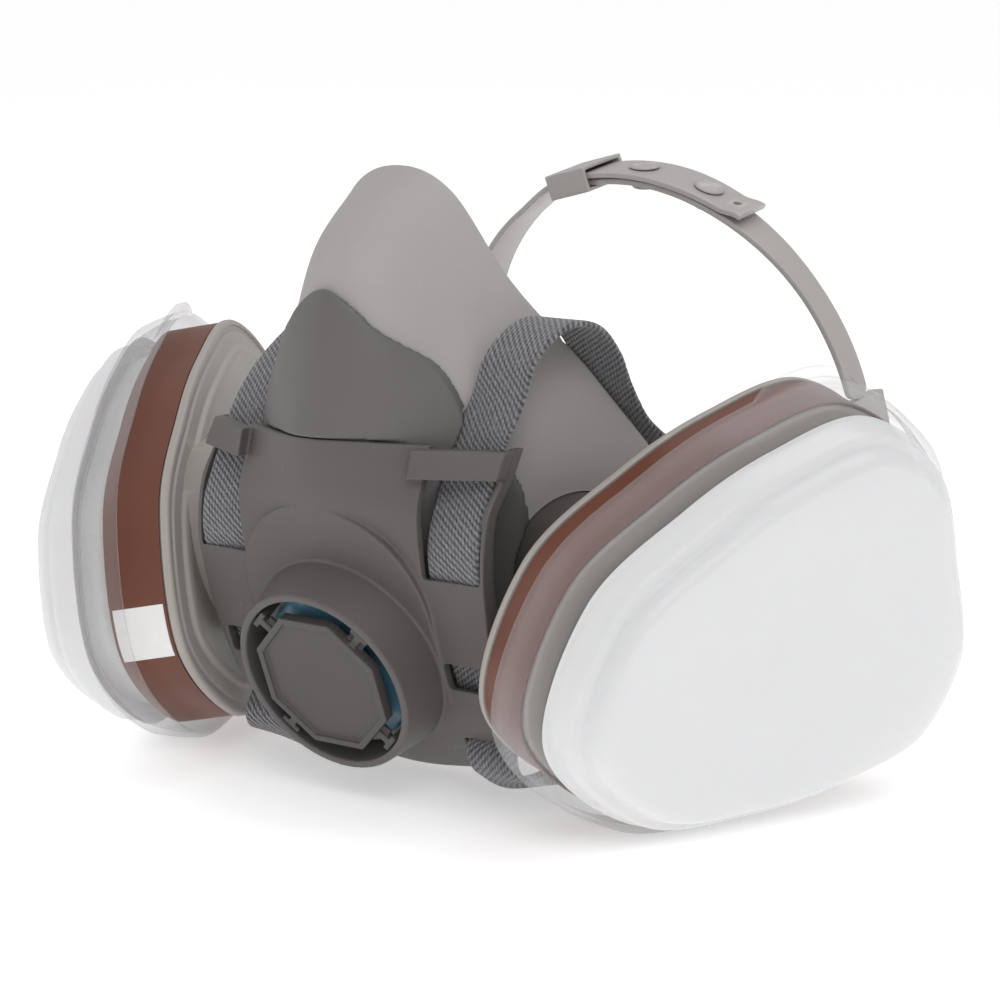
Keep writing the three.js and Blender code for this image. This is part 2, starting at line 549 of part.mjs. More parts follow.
// The frame of a piece that sits on the arch: +X along it, +Y across it, +Z out of it.
function archFrame(degrees, height) {
  const { point, along, out } = archAt(THREE.MathUtils.degToRad(degrees));
  return new THREE.Matrix4().makeBasis(along, out.clone().cross(along), out)
    .setPosition(point.addScaledVector(out, height));
}
const studHoles = STUD_ANGLES.map((degrees) => disc(2.2, -3, 8, archFrame(degrees, 0), 14));
const innerBand = band(-15, BAND_END, (a) => 9 + 3.6 * ease(a, 60, 20), () => 0, 18);
const outerBand = band(-BAND_END, 34, (a) => 15 - 2 * ease(a, 10, 34),
  (a) => BAND_LAP * ease(a, -34, -17) + 1.6 * ease(a, 28, 34), 22);
add(respirator, 'cradle_band_left', cutAll(innerBand, studHoles), BAND());
add(respirator, 'cradle_band_right', cutAll(outerBand, studHoles), BAND());
STUD_ANGLES.forEach((degrees, k) => {
  const stud = turned([
    [0, -1.6], [3.4, -1.6], [3.4, -GAP], [1.8, -GAP], [1.8, STUD_TOP], [4, STUD_TOP],
    [3.4, STUD_TOP + 1], [0, STUD_TOP + 1.3]
  ], 14, archFrame(degrees, 0));
  add(respirator, `cradle_stud_${k + 1}`, stud, BAND());
});
const keeperFrame = archFrame(-14, 1.8);
const keeper = solid(new THREE.BoxGeometry(12.6, 18, 6.6), keeperFrame)
  .subtract(solid(new THREE.BoxGeometry(20, 15.8, 4.6), keeperFrame));
add(respirator, 'cradle_keeper', keeper, BAND());

// The buckle at each end of the arch: the band is moulded to it and the webbing loops through it.
function buckle(sign) {
  const frame = archFrame(sign * (BAND_END + 1.5), BAND_THICK / 2);
  const at = (y) => frame.clone().multiply(slide(8 * sign, y, 0));
  const body = solid(new THREE.BoxGeometry(19, 19, 4.2), at(0));
  const hole = solid(new THREE.BoxGeometry(15.4, 5, 9), at(-4));
  return cutAll(body.subtract(hole), strapRoom);
}
add(respirator, 'cradle_buckle_left', buckle(1), BAND());
add(respirator, 'cradle_buckle_right', buckle(-1), BAND());

export default respirator;
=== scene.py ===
# The looks of a reusable half-mask respirator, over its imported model. Shapes are built in millimetres
# with the origin at the centre of the valve ring, and to_object moves them to the shared frame.
import math
import bpy
import bmesh
import numpy as np
from mathutils import Matrix, Vector


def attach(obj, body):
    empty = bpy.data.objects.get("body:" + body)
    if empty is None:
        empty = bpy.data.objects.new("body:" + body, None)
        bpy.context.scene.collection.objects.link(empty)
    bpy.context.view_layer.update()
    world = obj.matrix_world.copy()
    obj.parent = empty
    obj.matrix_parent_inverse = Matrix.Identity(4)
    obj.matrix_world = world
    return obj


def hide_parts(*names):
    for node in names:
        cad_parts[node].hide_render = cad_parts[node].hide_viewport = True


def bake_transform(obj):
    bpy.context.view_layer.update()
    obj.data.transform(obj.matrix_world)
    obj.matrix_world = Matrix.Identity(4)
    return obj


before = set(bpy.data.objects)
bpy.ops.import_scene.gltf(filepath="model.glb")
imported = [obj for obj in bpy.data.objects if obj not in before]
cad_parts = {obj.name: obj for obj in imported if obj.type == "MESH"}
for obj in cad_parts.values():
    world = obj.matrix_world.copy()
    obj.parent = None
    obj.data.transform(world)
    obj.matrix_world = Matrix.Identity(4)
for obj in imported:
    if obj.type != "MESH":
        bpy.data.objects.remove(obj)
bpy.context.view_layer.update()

# ---- Driving dimensions (millimetres) ---------------------------------------------------------
CENTRE_Y = 72.74  # middle of the object from front to back
FLOOR_Z = -30.1
GAP = 0.35  # clearance between touching pieces
WALL = 2.2  # moulded wall
SKIN = 2.6  # elastomer wall
VALVE_TILT = math.radians(21.85)  # the exhalation valve looks this far down
HORN_R = 23.5
HORN_ROOT_R = 25.5
HORN_WALL = 1.8
HORN_DEPTH = 11.8
HORN_LEDGE = 10
BOSS_R = 26.3  # arched boss around the horn
BOSS_RISE = 13.9
SEAT_R = 19
SEAT_TOP = -8.2
STEM_R = 1.6
FLAP_R = 19.5
FLAP_Z = -7.8
GUARD_R = 18.3  # corner radius of the octagonal guard plate
GUARD_REACH = 21.3  # radius of the ends of its four spokes
EDGE_DEPTH = 4.6  # depth of the casing's side flanges
BAR_PROUD = 3.6  # guide bars over the upper slots
UPPER_SLOT_X, UPPER_SLOT_Z = (25.9, 40.4), (27, 70)  # webbing slots through the casing
LOWER_SLOT_X, LOWER_SLOT_Z = (26.6, 38), (0, 6.4)
GUIDE_BAR_X, GUIDE_BAR_Z = (24.4, 42.4), (50, 56.3)
CARTRIDGE_CENTRE = (93.6, 51.4, 17.6)
CARTRIDGE_AZIMUTH = math.radians(68.2)  # how far the filter face turns from the front
CARTRIDGE_DROP = math.radians(10.9)  # how far it looks down
PORT_OFFSET = -27.9  # port axis from the cartridge centre, towards the front
PORT_FACE = -27  # port face, along the cartridge axis
PORT_R = 16.5
OUTLINE_TURN = math.radians(18)  # the cartridge outline's turn about its axis
WEBBING = 14  # width of the elastic webbing
WEBBING_THICK = 1.5
BAND_TOP = (-5, 134.6, 105.2)  # the head cradle's arch: its top, half span, rise and lean
BAND_HALF_SPAN = 58
BAND_RISE = 59.5
BAND_LEAN = (0.095, 0.15, -1)
BAND_THICK = 1.6
BAND_LAP = 1.95  # how far the outer band is raised over the inner one
BAND_END = 84  # degrees from the top of the arch to its ends
STUD_ANGLES = (4, 22)
STUD_TOP = BAND_LAP + BAND_THICK + 0.3


# ---- Points and frames (millimetres) ----------------------------------------------------------
def arr(*points):
    return np.array(points, float)


def unit(v):
    v = np.asarray(v, float)
    return v / np.maximum(np.linalg.norm(v, axis=-1, keepdims=True), 1e-12)


def spline(points, t, closed=False):
    """Uniform Catmull-Rom curve through points at parameters t from 0 to 1."""
    p = np.asarray(points, float)
    n = len(p)
    t = np.atleast_1d(np.asarray(t, float))
    if closed:
        x = (t % 1.0) * n
        i = np.floor(x).astype(int) % n
        w = x - np.floor(x)
        p0, p1, p2, p3 = p[(i - 1) % n], p[i], p[(i + 1) % n], p[(i + 2) % n]
    else:
        q = np.vstack([2 * p[0] - p[1], p, 2 * p[-1] - p[-2]])
        x = np.clip(t, 0, 1) * (n - 1)
        i = np.minimum(np.floor(x).astype(int), n - 2)
        w = x - i
        p0, p1, p2, p3 = q[i], q[i + 1], q[i + 2], q[i + 3]
    w = w[:, None]
    a, b = 0.5 * (p2 - p0), 0.5 * (p3 - p1)
    return p1 + a * w + (-3 * p1 + 3 * p2 - 2 * a - b) * w ** 2 + (2 * p1 - 2 * p2 + a + b) * w ** 3


def frame_matrix(x, y, z, at):
    m = np.eye(4)
    m[:3, 0], m[:3, 1], m[:3, 2], m[:3, 3] = x, y, z, at
    return m


def moved(points, m):
    return np.asarray(points, float) @ m[:3, :3].T + m[:3, 3]


s, c = math.sin(VALVE_TILT), math.cos(VALVE_TILT)
VALVE = frame_matrix((1, 0, 0), (0, -s, c), (0, -c, -s), (0, 0, 0))
AZ, DROP = CARTRIDGE_AZIMUTH, CARTRIDGE_DROP
OUT = arr(math.sin(AZ) * math.cos(DROP), -math.cos(AZ) * math.cos(DROP), -math.sin(DROP))
BACK = arr(math.cos(AZ), math.sin(AZ), 0)
CARTRIDGE = frame_matrix(BACK, np.cross(OUT, BACK), OUT, CARTRIDGE_CENTRE)
PORT = CARTRIDGE @ frame_matrix((1, 0, 0), (0, 1, 0), (0, 0, 1), (PORT_OFFSET, 0, PORT_FACE))
MIRROR = np.diag([-1.0, 1, 1, 1])


# ---- Mesh building ----------------------------------------------------------------------------
class Shape:
    """Vertices and faces in millimetres, in the modelling frame."""

    def __init__(self, verts, faces):
        self.verts = np.asarray(verts, float)
        self.faces = faces

    def at(self, m):
        faces = self.faces
        if np.linalg.det(m[:3, :3]) < 0:
            faces = [f[::-1] for f in faces]
        return Shape(moved(self.verts, m), faces)

    def outward(self):
        v = self.verts - self.verts.mean(0)
        total = 0.0
        for f in self.faces:
            a = v[f[0]]
            for k in range(1, len(f) - 1):
                total += np.dot(a, np.cross(v[f[k]], v[f[k + 1]]))
        return self if total > 0 else Shape(self.verts, [f[::-1] for f in self.faces])


def rings(loops, closed=False):
    """A solid through loops of equal count, with a fan over each end unless it closes on itself."""
    loops = np.asarray(loops, float)
    n, m = loops.shape[:2]
    verts = list(loops.reshape(-1, 3))
    faces = []
    for i in range(n if closed else n - 1):
        a, b = i * m, ((i + 1) % n) * m
        for j in range(m):
            k = (j + 1) % m
            faces.append((a + j, a + k, b + k, b + j))
    for base, flip in () if closed else ((0, True), ((n - 1) * m, False)):
        verts.append(loops[base // m].mean(0))
        mid = len(verts) - 1
        for j in range(m):
            k = (j + 1) % m
            faces.append((base + k, base + j, mid) if flip else (base + j, base + k, mid))
    return Shape(np.array(verts), faces).outward()


def slab(front, back):
    """The closed solid between two grids of the same shape."""
    front, back = np.asarray(front, float), np.asarray(back, float)
    n, m = front.shape[:2]
    half = n * m
    verts = np.vstack([front.reshape(-1, 3), back.reshape(-1, 3)])
    faces = []
    for i in range(n - 1):
        for j in range(m - 1):
            a, b, d, e = i * m + j, i * m + j + 1, (i + 1) * m + j + 1, (i + 1) * m + j
            faces.append((a, b, d, e))
            faces.append((a + half, e + half, d + half, b + half))
    edge = [(0, j) for j in range(m)] + [(i, m - 1) for i in range(1, n)]
    edge += [(n - 1, j) for j in range(m - 2, -1, -1)] + [(i, 0) for i in range(n - 2, 0, -1)]
    ids = [i * m + j for i, j in edge]
    for a, b in zip(ids, ids[1:] + ids[:1]):
        faces.append((b, a, a + half, b + half))
    return Shape(verts, faces).outward()


def fillet(profile, radius, steps):
    """An open polyline with its inner corners rounded."""
    p = np.asarray(profile, float)
    out = [p[0]]
    for a, b, d in zip(p[:-2], p[1:-1], p[2:]):
        u, v = a - b, d - b
        lu, lv = np.linalg.norm(u), np.linalg.norm(v)
        r = min(radius, lu * 0.45, lv * 0.45)
        q0, q1 = b + u / lu * r, b + v / lv * r
        for k in range(steps + 1):
            t = k / steps
            out.append((1 - t) ** 2 * q0 + 2 * t * (1 - t) * b + t * t * q1)
    out.append(p[-1])
    return np.array(out)


def turned(profile, around, radius, at, closed=False):
    """A solid of revolution about +Z from [radius, height] corners, with its corners rounded."""
    p = np.asarray(profile, float)
    if closed:
        line = fillet(np.vstack([p[-1], p, p[0]]), radius, 3)[1:-1]
    else:
        line = fillet(p, radius, 3)
    a = np.arange(around) * 2 * np.pi / around
    loops = [np.stack([r * np.cos(a), r * np.sin(a), np.full(around, z)], 1) for r, z in line
             if closed or r > 1e-6]
    return rings(loops, closed=closed).at(at)


def box_shape(w, d, h, at=np.eye(4), centre=(0, 0, 0)):
    v = arr(*[(x * w / 2, y * d / 2, z * h / 2) for x in (-1, 1) for y in (-1, 1) for z in (-1, 1)])
    faces = [(0, 1, 3, 2), (4, 6, 7, 5), (0, 4, 5, 1), (2, 3, 7, 6), (0, 2, 6, 4), (1, 5, 7, 3)]
    return Shape(v + np.array(centre), faces).at(at)


def span(x0, x1, y0, y1, z0, z1):
    return box_shape(x1 - x0, y1 - y0, z1 - z0, centre=((x0 + x1) / 2, (y0 + y1) / 2, (z0 + z1) / 2))


def prism(points, z0, z1, at=np.eye(4)):
    n = len(points)
    verts = [(x, y, z0) for x, y in points] + [(x, y, z1) for x, y in points]
    faces = [tuple(range(n - 1, -1, -1)), tuple(range(n, 2 * n))]
    faces += [(i, (i + 1) % n, n + (i + 1) % n, n + i) for i in range(n)]
    return Shape(verts, faces).outward().at(at)


def turn_z(angle):
    a, b = math.cos(angle), math.sin(angle)
    return frame_matrix((a, b, 0), (-b, a, 0), (0, 0, 1), (0, 0, 0))


# ---- Blender objects --------------------------------------------------------------------------
def to_object(name, shape):
    verts = (shape.verts - np.array([0, CENTRE_Y, FLOOR_Z])) / 1000
    mesh = bpy.data.meshes.new(name)
    mesh.from_pydata(verts.tolist(), [], [tuple(int(i) for i in f) for f in shape.faces])
    mesh.update()
    obj = bpy.data.objects.new(name, mesh)
    bpy.context.scene.collection.objects.link(obj)
    return obj


def settle(obj):
    """Applies the object's modifiers to its mesh."""
    graph = bpy.context.evaluated_depsgraph_get()
    mesh = bpy.data.meshes.new_from_object(obj.evaluated_get(graph))
    obj.modifiers.clear()
    old = obj.data
    obj.data = mesh
    bpy.data.meshes.remove(old)
    return obj


def combine(obj, shapes, operation):
    for shape in shapes:
        tool = to_object("tool", shape)
        mod = obj.modifiers.new("cut", "BOOLEAN")
        mod.operation = operation
        mod.solver = "MANIFOLD"
        mod.object = tool
        settle(obj)
        mesh = tool.data
        bpy.data.objects.remove(tool)
        bpy.data.meshes.remove(mesh)
    return obj


def cut(obj, *shapes):
    return combine(obj, shapes, "DIFFERENCE")


def join(obj, *shapes):
    return combine(obj, shapes, "UNION")


def keep(obj, *shapes):
    return combine(obj, shapes, "INTERSECT")


def moulded(obj, voxel, smooth, factor):
    """Turns a sharp solid into an even mesh with softened edges."""
    mod = obj.modifiers.new("remesh", "REMESH")
    mod.mode = "VOXEL"
    mod.voxel_size = voxel / 1000
    soft = obj.modifiers.new("smooth", "SMOOTH")
    soft.factor = factor
    soft.iterations = smooth
    return settle(obj)


def shade(obj, angle=None):
    mesh = obj.data
    mesh.polygons.foreach_set("use_smooth", [True] * len(mesh.polygons))
    if angle is not None:
        bm = bmesh.new()
        bm.from_mesh(mesh)
        limit = math.radians(angle)
        for e in bm.edges:
            e.smooth = len(e.link_faces) == 2 and e.calc_face_angle(0) < limit
        bm.to_mesh(mesh)
        bm.free()
    mesh.update()
    return obj


def finish_piece(obj, body, material, nodes=(), angle=None):
    obj.data.materials.clear()
    obj.data.materials.append(material)
    shade(obj, angle)
    if body:
        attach(obj, body)
    if nodes:
        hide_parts(*nodes)
    return obj


# ---- Camera, light and floor ------------------------------------------------------------------
scene = bpy.context.scene
cam = bpy.data.objects.new("camera", bpy.data.cameras.new("camera"))
cam.data.lens = 108
cam.data.sensor_width = 36
cam.data.clip_start = 0.01
cam.location = (0.4219, -0.5155 - CENTRE_Y / 1000, 0.1723 - FLOOR_Z / 1000)
cam.rotation_euler = (math.radians(78.97), 0, math.radians(35.80))
scene.collection.objects.link(cam)
scene.camera = cam


def soft_light(name, at, towards, size, power):
    data = bpy.data.lights.new(name, "AREA")
    data.shape = "RECTANGLE"
    data.size, data.size_y = size
    data.energy = power
    obj = bpy.data.objects.new(name, data)
    obj.location = at
    obj.rotation_euler = (Vector(towards) - Vector(at)).to_track_quat("-Z", "Y").to_euler()
    scene.collection.objects.link(obj)


soft_light("key", (0.75, -0.8, 0.95), (0, 0, 0.06), (0.6, 0.6), 4.2)
soft_light("fill", (-0.9, -0.6, 0.6), (0, 0, 0.06), (0.7, 0.9), 1.2)
soft_light("top", (0.1, 0.35, 1.25), (0, 0, 0.05), (0.9, 0.7), 3.5)
world = bpy.data.worlds.new("studio")
world.use_nodes = True
world.node_tree.nodes["Background"].inputs["Color"].default_value = (1, 1, 1, 1)
world.node_tree.nodes["Background"].inputs["Strength"].default_value = 0.6
scene.world = world
scene.view_settings.view_transform = "Standard"


# ---- Materials --------------------------------------------------------------------------------
class Nodes:
    """A material's node tree, with short calls to add to it."""

    def __init__(self, name):
        self.material = bpy.data.materials.new(name)
        self.material.use_nodes = True
        self.tree = self.material.node_tree
        self.shader = self.tree.nodes["Principled BSDF"]

    def add(self, kind, inputs=None, **settings):
        node = self.tree.nodes.new("ShaderNode" + kind)
        for key, value in settings.items():
            setattr(node, key, value)
        for key, value in (inputs or {}).items():
            if hasattr(value, "is_output"):
                self.tree.links.new(value, node.inputs[key])
            else:
                node.inputs[key].default_value = value
        return node

    def math(self, operation, a, b=0.0, clamp=False):
        return self.add("Math", {0: a, 1: b}, operation=operation, use_clamp=clamp).outputs[0]

    def set(self, **values):
        for key, value in values.items():
            socket = self.shader.inputs[key.replace("_", " ")]
            if hasattr(value, "is_output"):
                self.tree.links.new(value, socket)
            else:
                socket.default_value = value
        return self

    def where(self):
        return self.add("TexCoord").outputs["Object"]

    def noise(self, scale, detail=3.0, rough=0.5):
        node = self.add("TexNoise", {"Vector": self.where(), "Scale": scale, "Detail": detail,
                                     "Roughness": rough})
        return node.outputs["Fac"]

    def ramp(self, value, stops):
        node = self.add("ValToRGB", {"Fac": value})
        elements = node.color_ramp.elements
        while len(elements) < len(stops):
            elements.new(0.5)
        for e, (at, colour) in zip(elements, stops):
            e.position = at
            e.color = (*colour, 1) if len(colour) == 3 else (colour[0],) * 3 + (1,)
        return node.outputs["Color"]

    def mix(self, factor, a, b):
        node = self.add("Mix", data_type="RGBA")
        for key, value in ((0, factor), (6, a), (7, b)):
            if hasattr(value, "is_output"):
                self.tree.links.new(value, node.inputs[key])
            elif key == 0:
                node.inputs[key].default_value = value
            else:
                node.inputs[key].default_value = (*value, 1)
        return node.outputs[2]

    def bump(self, height, distance, strength=1.0, below=None):
        inputs = {"Height": height, "Distance": distance, "Strength": strength}
        if below is not None:
            inputs["Normal"] = below
        return self.add("Bump", inputs).outputs["Normal"]


def shades(colour, low, high):
    return [tuple(v * low for v in colour), tuple(min(1, v * high) for v in colour)]


def moulded_plastic(name, colour, rough, grain, grain_scale, wear, spec):
    """Moulded plastic or elastomer: fine grain, slow mottling, lighter rubbed edges."""
    n = Nodes(name)
    low, high = shades(colour, 0.93, 1.06)
    slow = n.noise(22, 4, 0.55)
    base = n.mix(slow, low, high)
    specks = n.ramp(n.noise(900, 2, 0.6), [(0.62, (0.0,)), (0.74, (1.0,))])
    base = n.mix(n.math("MULTIPLY", specks, 0.10), base, tuple(min(1, v * 1.35) for v in colour))
    edge = n.add("NewGeometry").outputs["Pointiness"]
    edge = n.ramp(edge, [(0.52, (0.0,)), (0.60, (1.0,))])
    base = n.mix(n.math("MULTIPLY", edge, wear), base, tuple(min(1, v * 1.7 + 0.02) for v in colour))
    n.set(Base_Color=base)
    n.set(Roughness=n.math("ADD", n.math("MULTIPLY", n.noise(60, 3), 0.16), rough - 0.08))
    fine = n.bump(n.noise(grain_scale, 2, 0.6), grain)
    n.set(Normal=n.bump(n.noise(55, 2), 0.00012, below=fine))
    n.shader.inputs["Specular IOR Level"].default_value = spec
    return n.material


ELASTOMER = moulded_plastic("elastomer_grey", (0.365, 0.342, 0.340), 0.52, 0.00002, 2200, 0.2, 0.42)
CASING = moulded_plastic("casing_grey", (0.098, 0.088, 0.085), 0.5, 0.00004, 2900, 0.3, 0.45)
SHELL = moulded_plastic("shell_grey", (0.120, 0.110, 0.109), 0.5, 0.00004, 2900, 0.3, 0.45)
GUARD = moulded_plastic("guard_grey", (0.073, 0.063, 0.063), 0.5, 0.00004, 2900, 0.3, 0.45)
TAN = moulded_plastic("tan_grey_plastic", (0.36, 0.33, 0.305), 0.42, 0.000015, 2400, 0.2, 0.5)
BAND = moulded_plastic("band_grey", (0.40, 0.375, 0.365), 0.42, 0.00002, 2400, 0.3, 0.5)
BLACK = moulded_plastic("black_rubber", (0.022, 0.022, 0.023), 0.6, 0.00003, 2400, 0.1, 0.4)
SILICONE = moulded_plastic("white_silicone", (0.78, 0.77, 0.74), 0.35, 0.00001, 2000, 0.05, 0.5)


def blue_silicone():
    n = Nodes("blue_silicone")
    base = n.mix(n.noise(90, 3), (0.11, 0.28, 0.40), (0.16, 0.37, 0.51))
    n.set(Base_Color=base, Roughness=n.math("ADD", n.math("MULTIPLY", n.noise(120, 3), 0.1), 0.2))
    n.set(Normal=n.bump(n.noise(150, 2), 0.0001))
    n.shader.inputs["Subsurface Weight"].default_value = 0.15
    n.shader.inputs["Subsurface Scale"].default_value = 0.001
    n.shader.inputs["Coat Weight"].default_value = 0.3
    return n.material


def charcoal():
    n = Nodes("charcoal")
    cells = n.add("TexVoronoi", {"Vector": n.where(), "Scale": 620.0})
    n.set(Base_Color=n.mix(cells.outputs["Distance"], (0.03, 0.03, 0.032), (0.004, 0.004, 0.004)))
    n.set(Roughness=n.math("ADD", n.math("MULTIPLY", n.noise(800), 0.5), 0.35))
    n.set(Normal=n.bump(cells.outputs["Distance"], 0.0006))
    return n.material


def brown_label():
    n = Nodes("brown_label")
    base = n.mix(n.noise(60, 4), (0.118, 0.033, 0.016), (0.150, 0.046, 0.024))
    scuff = n.ramp(n.noise(420, 3, 0.7), [(0.66, (0.0,)), (0.8, (1.0,))])
    n.set(Base_Color=n.mix(n.math("MULTIPLY", scuff, 0.12), base, (0.3, 0.17, 0.12)))
    n.set(Roughness=n.math("ADD", n.math("MULTIPLY", n.noise(160, 3), 0.14), 0.32))
    n.set(Normal=n.bump(n.noise(1500, 2), 0.000012))
    return n.material


def paper_white():
    n = Nodes("label_patch")
    n.set(Base_Color=n.mix(n.noise(300, 3), (0.74, 0.73, 0.72), (0.82, 0.81, 0.80)))
    n.set(Roughness=n.math("ADD", n.math("MULTIPLY", n.noise(160, 3), 0.14), 0.38))
    n.set(Normal=n.bump(n.noise(1500, 2), 0.00001))
    return n.material


def fleece():
    n = Nodes("white_fleece")
    where = n.where()
    fibres = n.add("TexNoise", {"Vector": where, "Scale": 950.0, "Detail": 6.0, "Roughness": 0.65,
                                "Distortion": 2.2}).outputs["Fac"]
    tufts = n.add("TexVoronoi", {"Vector": where, "Scale": 330.0}).outputs["Distance"]
    n.set(Base_Color=n.mix(fibres, (0.76, 0.76, 0.755), (0.89, 0.89, 0.885)), Roughness=0.95)
    rough = n.bump(tufts, 0.0004, 0.6)
    n.set(Normal=n.bump(fibres, 0.0003, 0.8, below=rough))
    n.shader.inputs["Sheen Weight"].default_value = 0.3
    return n.material


def clear_plastic():
    """Clear moulded plastic: thin walls that show what is behind, brighter at grazing angles."""
    n = Nodes("clear_plastic")
    graze = n.add("LayerWeight", {"Blend": 0.35}).outputs["Facing"]
    haze = n.noise(35, 3)
    n.set(Base_Color=n.mix(haze, (0.43, 0.42, 0.43), (0.54, 0.53, 0.54)))
    n.set(Alpha=n.math("ADD", n.math("MULTIPLY", graze, 0.42), 0.06, clamp=True))
    n.set(Roughness=n.math("ADD", n.math("MULTIPLY", haze, 0.1), 0.14))
    n.set(Normal=n.bump(n.noise(45, 2), 0.00015))
    n.shader.inputs["Specular IOR Level"].default_value = 0.6
    return n.material


def frosted_plastic():
    """The retainer's cap: milky and softly glossy over the white pad."""
    n = Nodes("frosted_plastic")
    haze = n.noise(30, 3)
    n.set(Base_Color=n.mix(haze, (0.84, 0.84, 0.85), (0.89, 0.89, 0.895)))
    graze = n.add("LayerWeight", {"Blend": 0.35}).outputs["Facing"]
    n.set(Alpha=n.math("ADD", n.math("MULTIPLY", graze, 0.25), 0.62, clamp=True))
    n.set(Roughness=n.math("ADD", n.math("MULTIPLY", haze, 0.12), 0.26))
    n.set(Normal=n.bump(n.noise(50, 2), 0.00012))
    n.shader.inputs["Subsurface Weight"].default_value = 0.1
    n.shader.inputs["Subsurface Scale"].default_value = 0.001
    return n.material


def webbing():
    """Elastic webbing: a diagonal twill of light yarns over dark ones, with heather flecks."""
    n = Nodes("grey_webbing")
    uv = n.add("UVMap", uv_map="weave").outputs["UV"]
    split = n.add("SeparateXYZ", {"Vector": uv})
    x, y = split.outputs[0], split.outputs[1]
    wobble = n.math("MULTIPLY", n.noise(500, 2), 0.35)
    slant = n.math("ADD", n.math("MULTIPLY", y, 0.66), n.math("MULTIPLY", x, 0.5))
    slant = n.math("ADD", slant, wobble)
    rib = n.math("SINE", n.math("MULTIPLY", slant, 2 * math.pi))
    rib = n.math("ADD", n.math("MULTIPLY", rib, 0.5), 0.5)
    lean = n.math("ADD", x, n.math("MULTIPLY", y, 0.12))
    cross = n.math("SINE", n.math("MULTIPLY", lean, 2 * math.pi * 1.1))
    cross = n.math("ADD", n.math("MULTIPLY", cross, 0.5), 0.5)
    height = n.math("ADD", n.math("MULTIPLY", rib, 0.7), n.math("MULTIPLY", cross, 0.3))
    fleck = n.ramp(n.noise(1300, 3, 0.7), [(0.50, (0.0,)), (0.68, (1.0,))])
    base = n.ramp(height, [(0.12, (0.022, 0.022, 0.026)), (0.5, (0.085, 0.085, 0.095)),
                           (0.9, (0.215, 0.213, 0.232))])
    base = n.mix(n.math("MULTIPLY", fleck, 0.4), base, (0.36, 0.36, 0.385))
    n.set(Base_Color=base, Roughness=0.9)
    yarn = n.bump(n.noise(2200, 3, 0.7), 0.00022)
    n.set(Normal=n.bump(height, 0.0006, 0.9, below=yarn))
    n.shader.inputs["Sheen Weight"].default_value = 0.4
    n.shader.inputs["Sheen Roughness"].default_value = 0.6
    return n.material


BLUE, CHARCOAL, BROWN, PATCH = blue_silicone(), charcoal(), brown_label(), paper_white()
FLEECE, CLEAR, FROSTED, WEB = fleece(), clear_plastic(), frosted_plastic(), webbing()

floor_nodes = Nodes("floor_white")
floor_nodes.set(Base_Color=floor_nodes.mix(floor_nodes.noise(3), (0.93, 0.93, 0.93), (0.95, 0.95, 0.95)))
floor_nodes.set(Roughness=0.7, Emission_Color=(1, 1, 1, 1), Emission_Strength=0.42)
bpy.ops.mesh.primitive_plane_add(size=600, location=(0, 0, -0.0002))
floor = bpy.context.object
floor.name = "floor"
floor.data.materials.append(floor_nodes.material)


# ---- Facepiece and shell ----------------------------------------------------------------------
MERIDIANS = arr(
    [(0, 30, 116), (0, 8.5, 101.5), (0, 1.4, 84), (0, -2.6, 62)],
    [(14, 31, 110.5), (11.2, 12.6, 97.5), (7.7, 3, 81), (3.5, -2.4, 60.5)],
    [(27, 36.5, 90), (21.6, 20, 81), (14.9, 5.6, 70), (6.8, -1.6, 55)],
    [(42, 50.5, 66.4), (33.6, 27, 62), (23, 11, 56), (10.5, 0.6, 49)],
    [(54, 68, 36), (43.2, 43, 37), (30, 20.5, 37.5), (13.5, 4.6, 40)],
    [(47, 80, 2), (40, 55, 2), (30, 29, 8), (13, 9, 28)],
    [(24, 85, -17), (22, 61, -23), (18, 34, -15), (9, 13, 16)],
    [(0, 86, -22), (0, 62, -30.1), (0, 33, -21), (0, 14.5, 10)])


def cup_outline(depth, turn):
    half = [spline(m, depth)[0] for m in MERIDIANS]
    other = [p * (-1, 1, 1) for p in half[-2:0:-1]]
    return spline(np.array(half + other), turn, closed=True)


def cup_loop(depth, distance, around):
    turn = 1 - np.arange(around) / around
    here = cup_outline(depth, turn)
    along = cup_outline(min(1, depth + 0.02), turn) - cup_outline(max(0, depth - 0.02), turn)
    across = cup_outline(depth, turn + 0.01) - cup_outline(depth, turn - 0.01)
    return here + unit(np.cross(along, across)) * distance


def cup(distance, behind=0, front=0, levels=26, around=132):
    loops = [cup_loop(i / (levels - 1), distance, around) for i in range(levels)]
    if behind:
        loops.insert(0, loops[0] + (0, behind, behind * 0.4))
    if front:
        loops.append(loops[-1] + unit(loops[-1] - loops[-2]) * front)
    return rings(loops)


CASING_LEVELS = arr(
    (-5, 57.6, 6.4, -0.45, 42), (-4.9, 50, 5.1, -0.2, 42), (-4, 41.7, 3.3, 0, 41.8),
    (0.7, 30, 1.4, 0, 41.6), (4.7, 20, 0.7, 0, 41.2), (8.7, 10, 0.3, 0, 40.5),
    (12.7, 0, 0.2, 0, 39.5), (17.4, -10, 0, 0.2, 37.5), (25, -19.6, 0, 0.8, 33),
    (34, -26, 0, 1.5, 27), (43, -28.6, 0, 2, 20))


def casing_grid(depth, wide=0, over=0, rows=61, columns=49):
    u = np.linspace(0, 1, rows)
    y, z, sweep, rise, half = spline(CASING_LEVELS, u).T
    dy, dz = np.gradient(y), np.gradient(z)
    inward = unit(np.stack([0 * y, -dz, dy], 1))
    side = np.linspace(1, -1, columns)
    x = (half + wide)[:, None] * side[None]
    bow = np.sqrt(1 + (x / 10) ** 2) - 1
    grid = np.stack([x, y[:, None] + sweep[:, None] * bow, z[:, None] + rise[:, None] * bow], 2)
    grid = grid + inward[:, None] * depth
    if over:
        grid = np.concatenate([grid[:1] + (0, 0, over), grid, grid[-1:] + (0, over, -0.29 * over)])
    return grid


